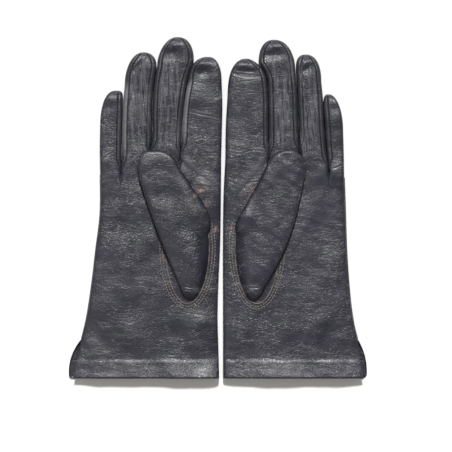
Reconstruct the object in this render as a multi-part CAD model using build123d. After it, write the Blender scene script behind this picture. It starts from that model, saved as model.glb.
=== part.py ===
"""A pair of slim leather dress gloves, lying flat with their palms up and their thumbs folded in.

The right-hand glove lies at -X and the left-hand one at +X, thumb side inwards, cuffs at -Y and fingertips
at +Y. Each glove is an empty leather shell: two flat panels, a fold on the thumb side, a seam on the little
finger side, and fourchette strips between the fingers. The panels are cut at the knuckles, where the fingers
curl, and the thumb is a shell of its own over the hole in the palm. Sizes are millimetres. Points are given
as (out, up): out from the pair's middle plane, and up towards the fingertips.
"""

from build123d import *
from dataclasses import dataclass
import os

# Leather and thread
leather = 0.7
thread_rise = 0.3
thread_width = 0.6

# How the pair lies
pair_gap = 2.4
hand_depth = 9.4
lane = 0.5
knuckle_gap = 0.3

# How far a cutting block reaches past what it cuts
overrun = 1.0

# Lengths along the glove
palm_length = 170.4
crotch_drop = 8.0
little_knuckle_drop = 11.0
little_crotch_drop = 7.5
vent_length = 29.0
hem_depth = 13.0
flare_start_drop = 45.0

# Widths at the knuckles, and reach of each fingertip past its knuckle
index_width = 27.8
middle_width = 21.5
ring_width = 21.8
little_width = 15.7
index_reach = 65.7
middle_reach = 80.4
ring_reach = 69.0
little_reach = 51.5

# Widths at the cuff, from the thumb-side fold
vent_width = 102.1
cuff_width = 108.1
flap_width = 111.7

# Slant of the outer edge where the cuff flares, slant of the flap beside the vent, and its widest place
flare_slant = 0.26
flap_slant = 0.55
flap_belly_share = 0.4

# Thumb
thumb_depth = 6.8
thumb_rest_gap = 0.5
thumb_length = 110.7
thumb_width = 40.0
thumb_inset = 7.0
thumb_tip_drop = 2.6
thumb_base_share = 0.42
thumb_tip_share = 1.07
hole_length = 82.0
hole_width = 31.8
hole_inset = 8.3
hole_below_thumb = 1.9
mouth_length = 47.0
mouth_width = 19.0
mouth_rise = 8.0
root_margin = 4.0
thumb_seam_low_share = 0.3
thumb_seam_high_share = 0.1
stitch_rows = 2
stitch_offset = 2.4
stitch_pitch = 2.2

# The thumb's outline from base to tip: share of its length, centre and half width as shares of its width
thumb_stations = [
    (0.07, 0.36, 0.18),
    (0.29, 0.43, 0.37),
    (0.49, 0.51, 0.50),
    (0.69, 0.72, 0.48),
    (0.87, 0.96, 0.37),
    (0.96, 1.06, 0.25),
]

# Decorative rows on the back
point_count = 3
point_length = 72.0
point_spread = 15.0
point_top_drop = 12.0

# Finger seams, and the straight run of each finger's sides past its knuckle
seam_inset = 1.8
lean_start = 12.0

# Places worked out from the sizes above
cuff_y = -(palm_length + middle_reach) / 2
knuckle_y = cuff_y + palm_length
little_knuckle_y = knuckle_y - little_knuckle_drop
fold_u = pair_gap / 2
index_out = fold_u + index_width
middle_in = index_out + lane
middle_out = middle_in + middle_width
ring_in = middle_out + lane
ring_out = ring_in + ring_width
little_in = ring_out + lane
outer_u = little_in + little_width
vent_y = cuff_y + vent_length
thumb_tip_y = knuckle_y - thumb_tip_drop
thumb_base_y = thumb_tip_y - thumb_length
thumb_z = hand_depth + thumb_rest_gap


@dataclass
class Finger:
    """One finger's outline: its root, the lean of its two sides, and the place of its tip."""

    name: str
    root_in: float
    root_out: float
    root_y: float
    reach: float
    lean_in: float
    lean_out: float
    tip_share: float
    shoulder: float
    sides: tuple


both_sides = ("in", "out")
fingers = [
    Finger("index", fold_u, index_out, knuckle_y, index_reach, 0.0, -0.075, 0.42, 17.0, ("out",)),
    Finger("middle", middle_in, middle_out, knuckle_y, middle_reach, -0.075, -0.03, 0.52, 19.0, both_sides),
    Finger("ring", ring_in, ring_out, knuckle_y, ring_reach, -0.03, -0.01, 0.43, 18.0, both_sides),
    Finger("little", little_in, outer_u, little_knuckle_y, little_reach, 0.0, -0.02, 0.32, 16.0, ("in",)),
]


def slab(face, bottom, top):
    """A flat outline made into a plate between two heights."""
    return extrude(Pos(0, 0, bottom) * face, top - bottom, dir=(0, 0, 1))


def block(u_low, u_high, y_low, y_high, z_low, z_high):
    """A plain block between two corners."""
    size = Box(u_high - u_low, y_high - y_low, z_high - z_low, align=(Align.MIN, Align.MIN, Align.MIN))
    return Pos(u_low, y_low, z_low) * size


def side_at(finger, which, y):
    """How far out one side of a finger lies at a height along it."""
    along = max(0.0, y - finger.root_y - lean_start)
    if which == "in":
        return finger.root_in + finger.lean_in * along
    return finger.root_out + finger.lean_out * along


def finger_face(finger, inset=0.0):
    """A finger's flat outline from its knuckle line to its rounded tip, drawn in by an inset."""
    tip_y = finger.root_y + finger.reach
    shoulder_y = tip_y - finger.shoulder
    start_y = finger.root_y + knuckle_gap / 2
    root_left = (side_at(finger, "in", start_y) + inset, start_y)
    root_right = (side_at(finger, "out", start_y) - inset, start_y)
    bend_y = finger.root_y + lean_start
    bend_left = (root_left[0], bend_y)
    bend_right = (root_right[0], bend_y)
    left = (side_at(finger, "in", shoulder_y) + inset, shoulder_y)
    right = (side_at(finger, "out", shoulder_y) - inset, shoulder_y)
    tip = (left[0] + finger.tip_share * (right[0] - left[0]), tip_y - inset)
    edges = [
        Line(root_left, root_right),
        Line(root_right, bend_right),
        Line(bend_right, right),
        Spline(right, tip, tangents=[(finger.lean_out, 1), (-1, 0)]),
        Spline(tip, left, tangents=[(-1, 0), (-finger.lean_in, -1)]),
        Line(left, bend_left),
        Line(bend_left, root_left),
    ]
    return make_face(Wire(edges).edges())


def finger_wall(finger, which, bottom, top):
    """The standing strip on one side of a finger, from the knuckle round to the middle of the tip."""
    ring = finger_face(finger) - finger_face(finger, leather)
    tip_y = finger.root_y + finger.reach
    base = (finger.root_in + finger.root_out) / 2
    shoulder_y = tip_y - finger.shoulder
    left = side_at(finger, "in", shoulder_y)
    right = side_at(finger, "out", shoulder_y)
    split = left + finger.tip_share * (right - left)
    far = base - finger.reach if which == "in" else base + finger.reach
    half = Polyline(
        (base, finger.root_y + knuckle_gap / 2 + leather),
        (split, shoulder_y),
        (split, tip_y + leather),
        (far, tip_y + leather),
        (far, finger.root_y - leather),
        (base, finger.root_y - leather),
        close=True,
    )
    mouth = block(
        finger.root_in + leather, finger.root_out - leather,
        finger.root_y - leather, finger.root_y + leather, bottom - overrun, top + overrun,
    )
    return slab(ring, bottom, top) & slab(make_face(half), bottom, top) - mouth


def side_band(finger, which, bottom, top):
    """A raised thread line along the seam on one side of a finger."""
    start_y = finger.root_y + knuckle_gap / 2 + seam_inset
    end_y = finger.root_y + finger.reach - finger.shoulder
    toward = 1 if which == "in" else -1
    low = side_at(finger, which, start_y) + toward * seam_inset
    high = side_at(finger, which, end_y) + toward * seam_inset
    bend_y = finger.root_y + lean_start
    band = Polyline(
        (low, start_y), (low, bend_y), (high, end_y), (high + toward * thread_width, end_y),
        (low + toward * thread_width, bend_y), (low + toward * thread_width, start_y), close=True,
    )
    return slab(make_face(band), bottom, top)


def hand_face(flap):
    """The flat outline of the hand and cuff; the back panel carries the vent's wider flap."""
    top_y = knuckle_y - knuckle_gap / 2
    little_y = little_knuckle_y - knuckle_gap / 2
    step_u = ring_out + lane / 2
    flare_y = knuckle_y - flare_start_drop
    vent_u = fold_u + vent_width
    corner_u = fold_u + cuff_width
    edges = [
        Line((fold_u, cuff_y), (fold_u, top_y)),
        Line((fold_u, top_y), (step_u, top_y)),
        Line((step_u, top_y), (step_u, little_y)),
        Line((step_u, little_y), (outer_u, little_y)),
        Line((outer_u, little_y), (outer_u, flare_y)),
        Spline((outer_u, flare_y), (vent_u, vent_y), tangents=[(0, -1), (flare_slant, -1)]),
    ]
    if flap:
        flap_u = fold_u + flap_width
        belly_y = cuff_y + flap_belly_share * vent_length
        edges.append(Spline((vent_u, vent_y), (flap_u, belly_y), tangents=[(flap_slant, -1), (0, -1)]))
        edges.append(Line((flap_u, belly_y), (flap_u, cuff_y)))
        edges.append(Line((flap_u, cuff_y), (fold_u, cuff_y)))
    else:
        edges.append(Line((vent_u, vent_y), (corner_u, cuff_y)))
        edges.append(Line((corner_u, cuff_y), (fold_u, cuff_y)))
    return make_face(Wire(edges).edges())


def finger_slots(bottom, top):
    """The narrow slits between the finger roots, from each crotch up to the knuckle lines."""
    crotch_y = knuckle_y - crotch_drop
    little_crotch_y = little_knuckle_y - little_crotch_drop
    first = block(index_out, middle_in, crotch_y, knuckle_y, bottom, top)
    second = block(middle_out, ring_in, crotch_y, knuckle_y, bottom, top)
    third = block(ring_out, little_in, little_crotch_y, knuckle_y, bottom, top)
    return first + second + third


def thumb_face(inset=0.0):
    """The folded thumb's outline, narrow at its base, full across the ball and rounded at its tip."""
    inner_side = []
    outer_side = []
    for up_share, centre_share, half_share in thumb_stations:
        centre_u = fold_u + thumb_inset + centre_share * thumb_width
        half = half_share * thumb_width - inset
        up = thumb_base_y + up_share * thumb_length
        inner_side.append((centre_u - half, up))
        outer_side.append((centre_u + half, up))
    base_u = fold_u + thumb_inset + thumb_base_share * thumb_width
    tip_u = fold_u + thumb_inset + thumb_tip_share * thumb_width
    base = [(base_u, thumb_base_y + inset)]
    tip = [(tip_u, thumb_tip_y - inset)]
    outline = Spline(base + inner_side + tip + outer_side[::-1], periodic=True)
    return make_face(outline)


def hole_face(grow=0.0):
    """The palm's oval thumb hole, or the same oval grown by a distance."""
    centre_u = fold_u + hole_inset + hole_width / 2
    centre_y = thumb_base_y - hole_below_thumb + hole_length / 2
    return Pos(centre_u, centre_y) * Ellipse(hole_width / 2 + grow, hole_length / 2 + grow)


def mouth_face():
    """The smaller oval through which the wearer's thumb passes from the hand into the thumb."""
    centre_u = fold_u + thumb_inset + thumb_base_share * thumb_width
    centre_y = thumb_base_y + mouth_rise + mouth_length / 2
    return Pos(centre_u, centre_y) * Ellipse(mouth_width / 2, mouth_length / 2)


def palm():
    """The palm panel with the fold down its thumb side and the thumb hole."""
    top = hand_depth
    plate = slab(hand_face(False), top - leather, top) - finger_slots(0, top + overrun)
    fold = block(fold_u, fold_u + leather, cuff_y, knuckle_y - knuckle_gap / 2, leather, top - leather)
    return plate + fold - slab(hole_face(), top - 2 * leather, top + overrun)


def back():
    """The back panel, with shallow grooves that hold the three decorative rows."""
    plate = slab(hand_face(True), 0, leather) - finger_slots(-overrun, leather + overrun)
    return plate - back_points()


def back_points():
    """Three raised rows of stitching that fan out from the knuckles towards the wrist."""
    top_y = knuckle_y - crotch_drop - point_top_drop
    rows = []
    for number in range(point_count):
        top_u = (middle_in + middle_out) / 2 + (number - (point_count - 1) / 2) * point_spread
        half = thread_width / 2
        rows.append(block(top_u - half, top_u + half, top_y - point_length, top_y, 0, thread_rise))
    return rows[0] + rows[1:]


def hem(corner_u, bottom):
    """The turned-in edge of one panel inside the cuff."""
    high_y = cuff_y + hem_depth
    return block(fold_u + leather, corner_u, cuff_y, high_y, bottom, bottom + leather)


def side_seam():
    """The closed outer edge where the two panels are sewn together, from the vent to the little finger."""
    low = leather
    high = hand_depth - leather
    outline = hand_face(False)
    crescent = outline - Pos(-leather, 0) * outline
    keep = block(
        outer_u - 2 * leather, fold_u + vent_width + leather,
        vent_y, little_knuckle_y - knuckle_gap / 2, low - overrun, high + overrun,
    )
    return slab(crescent, low, high) & keep


def fourchette_roots():
    """The forks at the three crotches, where each strip turns from one finger to the next."""
    low = leather
    high = hand_depth - leather
    forks = []
    places = [
        (index_out, middle_in, knuckle_y - crotch_drop, knuckle_y, knuckle_y),
        (middle_out, ring_in, knuckle_y - crotch_drop, knuckle_y, knuckle_y),
        (ring_out, little_in, little_knuckle_y - little_crotch_drop, knuckle_y, little_knuckle_y),
    ]
    for left, right, crotch_y, left_top, right_top in places:
        base = block(left - leather, right + leather, crotch_y - leather, crotch_y, low, high)
        left_wall = block(left - leather, left, crotch_y, left_top - knuckle_gap / 2, low, high)
        right_wall = block(right, right + leather, crotch_y, right_top - knuckle_gap / 2, low, high)
        forks.append(base + left_wall + right_wall)
    return Compound(children=forks)


def thumb_hole_stitching():
    """Two rows of thread round the thumb hole, raised on the palm."""
    rings = []
    for row in range(stitch_rows):
        grow = stitch_offset + row * stitch_pitch
        ring = hole_face(grow + thread_width) - hole_face(grow)
        rings.append(slab(ring, hand_depth, hand_depth + thread_rise))
    return Compound(children=rings)


def thumb_root():
    """The thumb's own leather where it is sewn under the edge of the hole, round the thumb's mouth."""
    top = hand_depth - leather
    return slab(hole_face(root_margin) - mouth_face(), top - leather, top)


def thumb_front():
    """The thumb's upper panel, the side that shows while the thumb lies on the palm."""
    top = thumb_z + thumb_depth
    return slab(thumb_face(), top - leather, top)


def thumb_back():
    """The thumb's lower panel and its side, open at the thumb's mouth."""
    mouth = slab(mouth_face(), thumb_z - overrun, thumb_z + leather + overrun)
    plate = slab(thumb_face(), thumb_z, thumb_z + leather) - mouth
    ring = thumb_face() - thumb_face(leather)
    return plate + slab(ring, thumb_z + leather, thumb_z + thumb_depth - leather)


def thumb_seam():
    """The thumb's closing seam, a thread line just inside the edge of its upper panel."""
    ring = thumb_face(seam_inset) - thumb_face(seam_inset + thread_width)
    top = thumb_z + thumb_depth
    start_u = fold_u + thumb_inset + thumb_width
    low_y = thumb_base_y + thumb_seam_low_share * thumb_length
    high_y = thumb_tip_y - thumb_seam_high_share * thumb_length
    keep = block(start_u, start_u + thumb_width, low_y, high_y, top - overrun, top + thread_rise + overrun)
    return slab(ring, top, top + thread_rise) & keep


def finger_front(finger):
    """The palm-side panel of a finger, with the leather's fold or closed edge where it has no fourchette."""
    top = hand_depth
    shape = slab(finger_face(finger), top - leather, top)
    for which in ("in", "out"):
        if which not in finger.sides:
            shape = shape + finger_wall(finger, which, leather, top - leather)
    return shape


def finger_seams(finger):
    """The thread lines along the palm-side edges of a finger's fourchettes."""
    bands = [side_band(finger, which, hand_depth, hand_depth + thread_rise) for which in finger.sides]
    return bands[0] if len(bands) == 1 else Compound(children=bands)


def glove_parts():
    """Every piece of the left-hand glove, by name."""
    corner_u = fold_u + cuff_width - hem_depth * (cuff_width - vent_width) / vent_length
    parts = {
        "palm": palm(),
        "back": back(),
        "cuff_hem_palm": hem(corner_u, hand_depth - 2 * leather),
        "cuff_hem_back": hem(fold_u + flap_width, leather),
        "side_seam": side_seam(),
        "fourchette_roots": fourchette_roots(),
        "thumb_root": thumb_root(),
        "thumb_hole_stitching": thumb_hole_stitching(),
        "back_points": back_points(),
        "thumb_front": thumb_front(),
        "thumb_back": thumb_back(),
        "thumb_seam": thumb_seam(),
    }
    for finger in fingers:
        parts[f"{finger.name}_front"] = finger_front(finger)
        parts[f"{finger.name}_back"] = slab(finger_face(finger), 0, leather)
        for which in finger.sides:
            label = "inner" if which == "in" else "outer"
            wall = finger_wall(finger, which, leather, hand_depth - leather)
            parts[f"{finger.name}_{label}_fourchette"] = wall
        parts[f"{finger.name}_seams"] = finger_seams(finger)
    return parts


os.makedirs("parts", exist_ok=True)
for node, shape in glove_parts().items():
    export_step(shape, f"parts/left_{node}.step")
    export_step(mirror(shape, about=Plane.YZ), f"parts/right_{node}.step")
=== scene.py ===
"""A pair of leather dress gloves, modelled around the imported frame.

Each glove is a set of leather panels that share their edges: palm and back, finger fronts and backs,
fourchettes, thumb, hems and thread. Shapes are worked out in millimetres as (out, up, height): out from the
pair's middle plane, up towards the fingertips. They become metres when a mesh is made. One set of classes
makes both gloves, and the right-hand glove is turned to -X.
"""

from __future__ import annotations

import logging
import math
from dataclasses import dataclass, field
from enum import Enum
from typing import Callable, Sequence

import bpy
import numpy as np
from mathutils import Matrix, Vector

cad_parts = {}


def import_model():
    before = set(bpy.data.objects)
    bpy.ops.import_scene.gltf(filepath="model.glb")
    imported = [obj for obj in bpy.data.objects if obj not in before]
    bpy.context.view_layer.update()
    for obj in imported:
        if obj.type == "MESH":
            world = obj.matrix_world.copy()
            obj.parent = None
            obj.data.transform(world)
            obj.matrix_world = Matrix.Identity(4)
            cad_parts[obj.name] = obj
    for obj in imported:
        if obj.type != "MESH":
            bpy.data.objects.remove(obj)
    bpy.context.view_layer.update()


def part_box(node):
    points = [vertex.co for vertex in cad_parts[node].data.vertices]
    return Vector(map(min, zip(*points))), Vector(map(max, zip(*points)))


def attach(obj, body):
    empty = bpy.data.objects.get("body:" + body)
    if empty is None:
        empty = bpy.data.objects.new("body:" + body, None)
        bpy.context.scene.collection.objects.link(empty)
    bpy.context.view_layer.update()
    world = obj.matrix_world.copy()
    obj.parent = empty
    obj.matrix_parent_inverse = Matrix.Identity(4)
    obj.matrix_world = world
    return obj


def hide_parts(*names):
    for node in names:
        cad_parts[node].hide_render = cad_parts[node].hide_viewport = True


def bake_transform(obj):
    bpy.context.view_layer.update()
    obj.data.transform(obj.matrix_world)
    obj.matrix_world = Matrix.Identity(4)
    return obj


LOG = logging.getLogger("gloves")
MM = 0.001
TURN = 6.283  # one turn of a wave, in radians
FLOOR_GAP = 0.03  # how far every sheet stays above the floor, in millimetres
Points = Sequence[tuple[float, float]]
Curve = Callable[[np.ndarray], np.ndarray]


class Hand(Enum):
    """Which hand a glove fits, with the side of the middle plane that it lies on."""

    RIGHT = -1
    LEFT = 1

    @property
    def label(self) -> str:
        """The word that starts the names of this glove's nodes."""
        return self.name.lower()


class Face(Enum):
    """The two sides of a flat glove."""

    FRONT = 1
    BACK = -1

    @property
    def relief(self) -> float:
        """How strongly relief lifts this side; the back's points down, and the floor flattens it."""
        return 1.0 if self is Face.FRONT else -0.6


class Edge(Enum):
    """The two sides of a finger: towards the thumb, and away from it."""

    INNER = 0
    OUTER = 1


# ---------------------------------------------------------------- small maths


def smooth(value: np.ndarray | float) -> np.ndarray:
    """A step from 0 to 1 with soft ends, for values from 0 to 1."""
    t = np.clip(value, 0.0, 1.0)
    return t * t * (3 - 2 * t)


def through(points: Points) -> Curve:
    """Makes a smooth curve through a few points.

    Args:
        points: (up, out) pairs in rising order.

    Returns:
        A function that gives out for an array of up values, held level past both ends.
    """
    x = np.array([p[0] for p in points], float)
    y = np.array([p[1] for p in points], float)
    slopes = np.gradient(y, x) if len(x) > 1 else np.zeros(1)

    def curve(at: np.ndarray) -> np.ndarray:
        """The curve's out values.

        Args:
            at: up values, in any shape.

        Returns:
            Out values in the same shape.
        """
        at = np.clip(at, x[0], x[-1])
        k = np.clip(np.searchsorted(x, at) - 1, 0, len(x) - 2)
        h = x[k + 1] - x[k]
        t = (at - x[k]) / h
        a = (1 + 2 * t) * (1 - t) ** 2 * y[k] + t * (1 - t) ** 2 * h * slopes[k]
        b = t * t * (3 - 2 * t) * y[k + 1] + t * t * (t - 1) * h * slopes[k + 1]
        return a + b

    return curve


def crown(share: np.ndarray, power: float) -> np.ndarray:
    """How full a flattened tube is at a share of its width: 0 at both edges and 1 over most of the middle."""
    return np.clip(1 - np.abs(2 * share - 1) ** power, 0, 1) ** (1 / power)


def clustered(count: int, tight: float) -> np.ndarray:
    """Shares from 0 to 1 that crowd towards both ends.

    Args:
        count: how many steps there are.
        tight: 0 for even steps, 1 for steps that shrink to nothing at the ends.

    Returns:
        count + 1 shares.
    """
    even = np.linspace(0, 1, count + 1)
    return (1 - tight) * even + tight * (1 - np.cos(np.pi * even)) / 2


# ---------------------------------------------------------------- relief of the leather


@dataclass(frozen=True)
class CreaseZone:
    """A patch of leather with creases that run about the same way.

    Angles are degrees from straight across the glove, and sizes are millimetres.
    """

    out: tuple[float, float]
    up: tuple[float, float]
    count: int
    length: tuple[float, float]
    angle: float = 0.0
    spread: float = 14.0
    depth: float = 0.10
    width: float = 0.5


@dataclass(frozen=True)
class Dent:
    """One soft hollow, a soft bump if its depth is negative, or a rubbed patch."""

    out: float
    up: float
    across: float
    along: float
    depth: float
    angle: float = 0.0

    def at(self, out: np.ndarray, up: np.ndarray) -> np.ndarray:
        """How deep the dent is at some places.

        Args:
            out: distances from the middle plane.
            up: distances towards the fingertips.

        Returns:
            Depths in millimetres, or shares of wear for a rubbed patch.
        """
        angle = math.radians(self.angle)
        x = (out - self.out) * math.cos(angle) + (up - self.up) * math.sin(angle)
        y = -(out - self.out) * math.sin(angle) + (up - self.up) * math.cos(angle)
        return self.depth * np.exp(-((x / self.across) ** 2) - (y / self.along) ** 2)


@dataclass
class Relief:
    """The creases, dents, scuffs and slow waves on one face of a glove."""

    seed: int
    zones: Sequence[CreaseZone] = ()
    dents: Sequence[Dent] = ()
    wave: float = 0.4
    scuffs: Sequence[Dent] = ()
    lines: list[tuple[float, ...]] = field(default_factory=list)
    wave_count: int = 14
    wave_sizes: tuple[float, float] = (7, 40)
    wave_full: float = 90.0
    waves: list[tuple[float, ...]] = field(init=False)

    def __post_init__(self) -> None:
        """Draws the creases of every zone, and the waves, from the seed."""
        rng = np.random.default_rng(self.seed)
        for zone in self.zones:
            for _ in range(zone.count):
                out, up = rng.uniform(*zone.out), rng.uniform(*zone.up)
                length = rng.uniform(*zone.length)
                angle = math.radians(zone.angle + rng.normal(0, zone.spread))
                bow = rng.normal(0, 0.006)
                depth = zone.depth * rng.uniform(0.5, 1.3)
                width = zone.width * rng.uniform(0.75, 1.25)
                self.lines.append((out, up, length, angle, bow, depth, width))
        self.waves = [
            (*rng.normal(0, 1, 2), rng.uniform(*self.wave_sizes), rng.uniform(0, 6.28))
            for _ in range(self.wave_count)
        ]

    def crease(self, out: float, up: float, length: float, angle: float, depth: float, width: float) -> None:
        """Adds one listed crease, with its angle in degrees and a slight bow.

        Args:
            out: the middle's distance from the middle plane.
            up: its distance towards the fingertips.
            length: from end to end.
            angle: degrees from straight across.
            depth: how deep it is.
            width: half its width.
        """
        bow = 0.003
        self.lines.append((out, up, length, math.radians(angle), bow, depth, width))

    def at(self, out: np.ndarray, up: np.ndarray) -> tuple[np.ndarray, np.ndarray]:
        """The relief at some places.

        Args:
            out: distances from the middle plane.
            up: distances towards the fingertips.

        Returns:
            Heights, and how worn the leather is there, from 0 to 1.
        """
        height = np.zeros_like(out)
        worn = np.zeros_like(out)
        for a, b, size, phase in self.waves:
            norm = math.hypot(a, b) or 1.0
            bent = 1.6 * np.sin(out / 11.0 + phase) + 1.3 * np.sin(up / 8.0 - phase)
            run = (a * out + b * up + bent) / norm
            height += self.wave * size / self.wave_full * np.sin(run * TURN / size + phase)
        for cu, cv, length, angle, bow, depth, width in self.lines:
            along = (out - cu) * math.cos(angle) + (up - cv) * math.sin(angle)
            near = np.abs(along) < length * 0.75
            if not near.any():
                continue
            a = along[near]
            side = -(out[near] - cu) * math.sin(angle) + (up[near] - cv) * math.cos(angle) - bow * a * a
            ends = np.exp(-((2.1 * a / length) ** 4))
            valley = np.exp(-((side / width) ** 2))
            ridge = np.exp(-(((side - 1.5 * width) / width) ** 2))
            height[near] += depth * ends * (0.7 * ridge - valley)
            crest = np.exp(-(((side - 1.1 * width) / (0.75 * width)) ** 2))
            worn[near] += min(1.0, depth / 0.2) * ends * crest
        for dent in self.dents:
            height -= dent.at(out, up)
        return height, np.clip(worn, 0, 1)

    def scuffed(self, out: np.ndarray, up: np.ndarray) -> np.ndarray:
        """How far the dye is rubbed off at some places, from 0 to 1.

        Args:
            out: distances from the middle plane.
            up: distances towards the fingertips.

        Returns:
            Shares, 1 where the leather is bare.
        """
        rubbed = np.zeros_like(out)
        for patch in self.scuffs:
            rubbed += patch.at(out, up)
        return np.clip(rubbed, 0, 1)


# ---------------------------------------------------------------- making meshes


def deselect() -> None:
    """Leaves object mode with nothing selected."""
    if bpy.context.object and bpy.context.object.mode != "OBJECT":
        bpy.ops.object.mode_set(mode="OBJECT")
    bpy.ops.object.select_all(action="DESELECT")


def activate(piece: bpy.types.Object) -> None:
    """Selects one object alone and makes it the active one.

    Args:
        piece: the object.
    """
    deselect()
    piece.select_set(True)
    bpy.context.view_layer.objects.active = piece


@dataclass
class Panel:
    """A grid of leather: places in (rows, columns, 3) millimetres, and how worn each place is.

    keep marks the cells that stay, and relief gives the rubbed patches, on a panel that has any.
    """

    name: str
    places: np.ndarray
    worn: np.ndarray
    keep: np.ndarray | None = None
    relief: Relief | None = None

    def build(self, hand: Hand, outward_first: bool) -> bpy.types.Object:
        """Adds a grid, moves its vertices to the panel's places and merges what meets.

        Args:
            hand: the glove that the panel belongs to.
            outward_first: whether rows crossed with columns point out of the leather on the left hand.

        Returns:
            The new object, one vertex thick.
        """
        rows, columns = self.places.shape[:2]
        merge, sliver = 0.00001, 0.000001
        deselect()
        bpy.ops.mesh.primitive_grid_add(x_subdivisions=columns - 1, y_subdivisions=rows - 1, size=1)
        piece = bpy.context.object
        piece.name = self.name
        piece.data.name = self.name
        co = self.places.reshape(-1, 3) * MM
        co = co * np.array([hand.value, 1, 1])
        piece.data.vertices.foreach_set("co", co.astype(np.float32).ravel())
        worn = piece.data.attributes.new("worn", "FLOAT", "POINT")
        worn.data.foreach_set("value", self.worn.astype(np.float32).ravel())
        if self.relief is not None:
            flat = self.places.reshape(-1, 3)
            scuff = piece.data.attributes.new("scuff", "FLOAT", "POINT")
            scuff.data.foreach_set("value", self.relief.scuffed(flat[:, 0], flat[:, 1]).astype(np.float32))
        piece.location = (0, 0, 0)
        piece.data.update()
        activate(piece)
        if self.keep is not None:
            self.cut_out(piece)
        bpy.ops.object.mode_set(mode="EDIT")
        bpy.ops.mesh.select_all(action="SELECT")
        bpy.ops.mesh.remove_doubles(threshold=merge)
        bpy.ops.mesh.dissolve_degenerate(threshold=sliver)
        bpy.ops.mesh.select_all(action="SELECT")
        if outward_first != (hand is Hand.LEFT):
            bpy.ops.mesh.flip_normals()
        bpy.ops.object.mode_set(mode="OBJECT")
        piece.data.shade_smooth()
        return piece

    def cut_out(self, piece: bpy.types.Object) -> None:
        """Deletes the cells of the active grid that the panel doesn't keep.

        Args:
            piece: the grid, in object mode.
        """
        mesh = piece.data
        mesh.vertices.foreach_set("select", np.zeros(len(mesh.vertices), bool))
        mesh.edges.foreach_set("select", np.zeros(len(mesh.edges), bool))
        mesh.polygons.foreach_set("select", ~self.keep.ravel())
        bpy.ops.object.mode_set(mode="EDIT")
        bpy.ops.mesh.select_mode(type="FACE")
        bpy.ops.mesh.delete(type="FACE")
        bpy.ops.mesh.select_mode(type="VERT")
        bpy.ops.object.mode_set(mode="OBJECT")


def place_keys(mesh: bpy.types.Mesh) -> list[tuple[int, ...]]:
    """Every vertex's place, rounded to a hundredth of a millimetre, so that shared places match.

    Args:
        mesh: the mesh.

    Returns:
        One key for each vertex, in order.
    """
    co = np.zeros(len(mesh.vertices) * 3)
    mesh.vertices.foreach_get("co", co)
    return [tuple(key) for key in np.round(co.reshape(-1, 3) * 1e5).astype(int).tolist()]


def shared_normals(pieces: Sequence[bpy.types.Object]) -> dict[tuple[int, ...], np.ndarray]:
    """Adds up the face normals at every place that one-sheet pieces share.

    Args:
        pieces: pieces cut from the same leather, so that no line shows where they meet.

    Returns:
        The summed normal at each place, by the place's key.
    """
    total: dict[tuple[int, ...], np.ndarray] = {}
    for piece in pieces:
        mesh = piece.data
        sums = np.zeros((len(mesh.vertices), 3))
        for polygon in mesh.polygons:
            sums[list(polygon.vertices)] += np.array(polygon.normal) * polygon.area
        for key, value in zip(place_keys(mesh), sums):
            total[key] = total.get(key, 0) + value
    return total


def thicken(
    piece: bpy.types.Object, thickness: float, normals: dict[tuple[int, ...], np.ndarray] | None = None
) -> None:
    """Gives a one-sheet piece its thickness, inwards, and smooth shading that its neighbours share.

    Args:
        piece: the sheet.
        thickness: in millimetres.
        normals: what shared_normals gave for the piece and its neighbours, if it has any.
    """
    count = len(piece.data.vertices)
    if normals is not None:
        skin = np.array([normals[key] for key in place_keys(piece.data)])
        skin /= np.maximum(np.linalg.norm(skin, axis=1), 1e-12)[:, None]
    activate(piece)
    solid = piece.modifiers.new("thickness", "SOLIDIFY")
    solid.thickness = thickness * MM
    solid.offset = -1
    bpy.ops.object.modifier_apply(modifier=solid.name)
    mesh = piece.data
    if normals is not None and len(mesh.vertices) == 2 * count:
        mesh.normals_split_custom_set_from_vertices(np.concatenate([skin, -skin]).tolist())


def tube(name: str, line: np.ndarray, radius: float, hand: Hand, closed: bool) -> bpy.types.Object:
    """A thin round cord along a line, made from a curve with a bevel.

    Args:
        name: the piece's name.
        line: (count, 3) places in millimetres.
        radius: in millimetres.
        hand: the glove that it belongs to.
        closed: whether the cord joins its own start.

    Returns:
        The cord as a mesh.
    """
    deselect()
    data = bpy.data.curves.new(name, "CURVE")
    data.dimensions = "3D"
    data.bevel_depth = radius * MM
    data.bevel_resolution = 2
    data.use_fill_caps = True
    spline = data.splines.new("POLY")
    spline.points.add(len(line) - 1)
    for point, (u, v, z) in zip(spline.points, line):
        point.co = (hand.value * u * MM, v * MM, z * MM, 1)
    spline.use_cyclic_u = closed
    piece = bpy.data.objects.new(name, data)
    bpy.context.scene.collection.objects.link(piece)
    activate(piece)
    bpy.ops.object.convert(target="MESH")
    piece = bpy.context.object
    piece.data.shade_smooth()
    return piece


@dataclass(frozen=True)
class Stitch:
    """One kind of stitch, in millimetres: its length, the pitch to the next, and half the thread's thickness.

    skip_ends is how much of a line is left bare at each end.
    """

    length: float
    pitch: float
    radius: float
    skip_ends: float = 0.0


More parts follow.
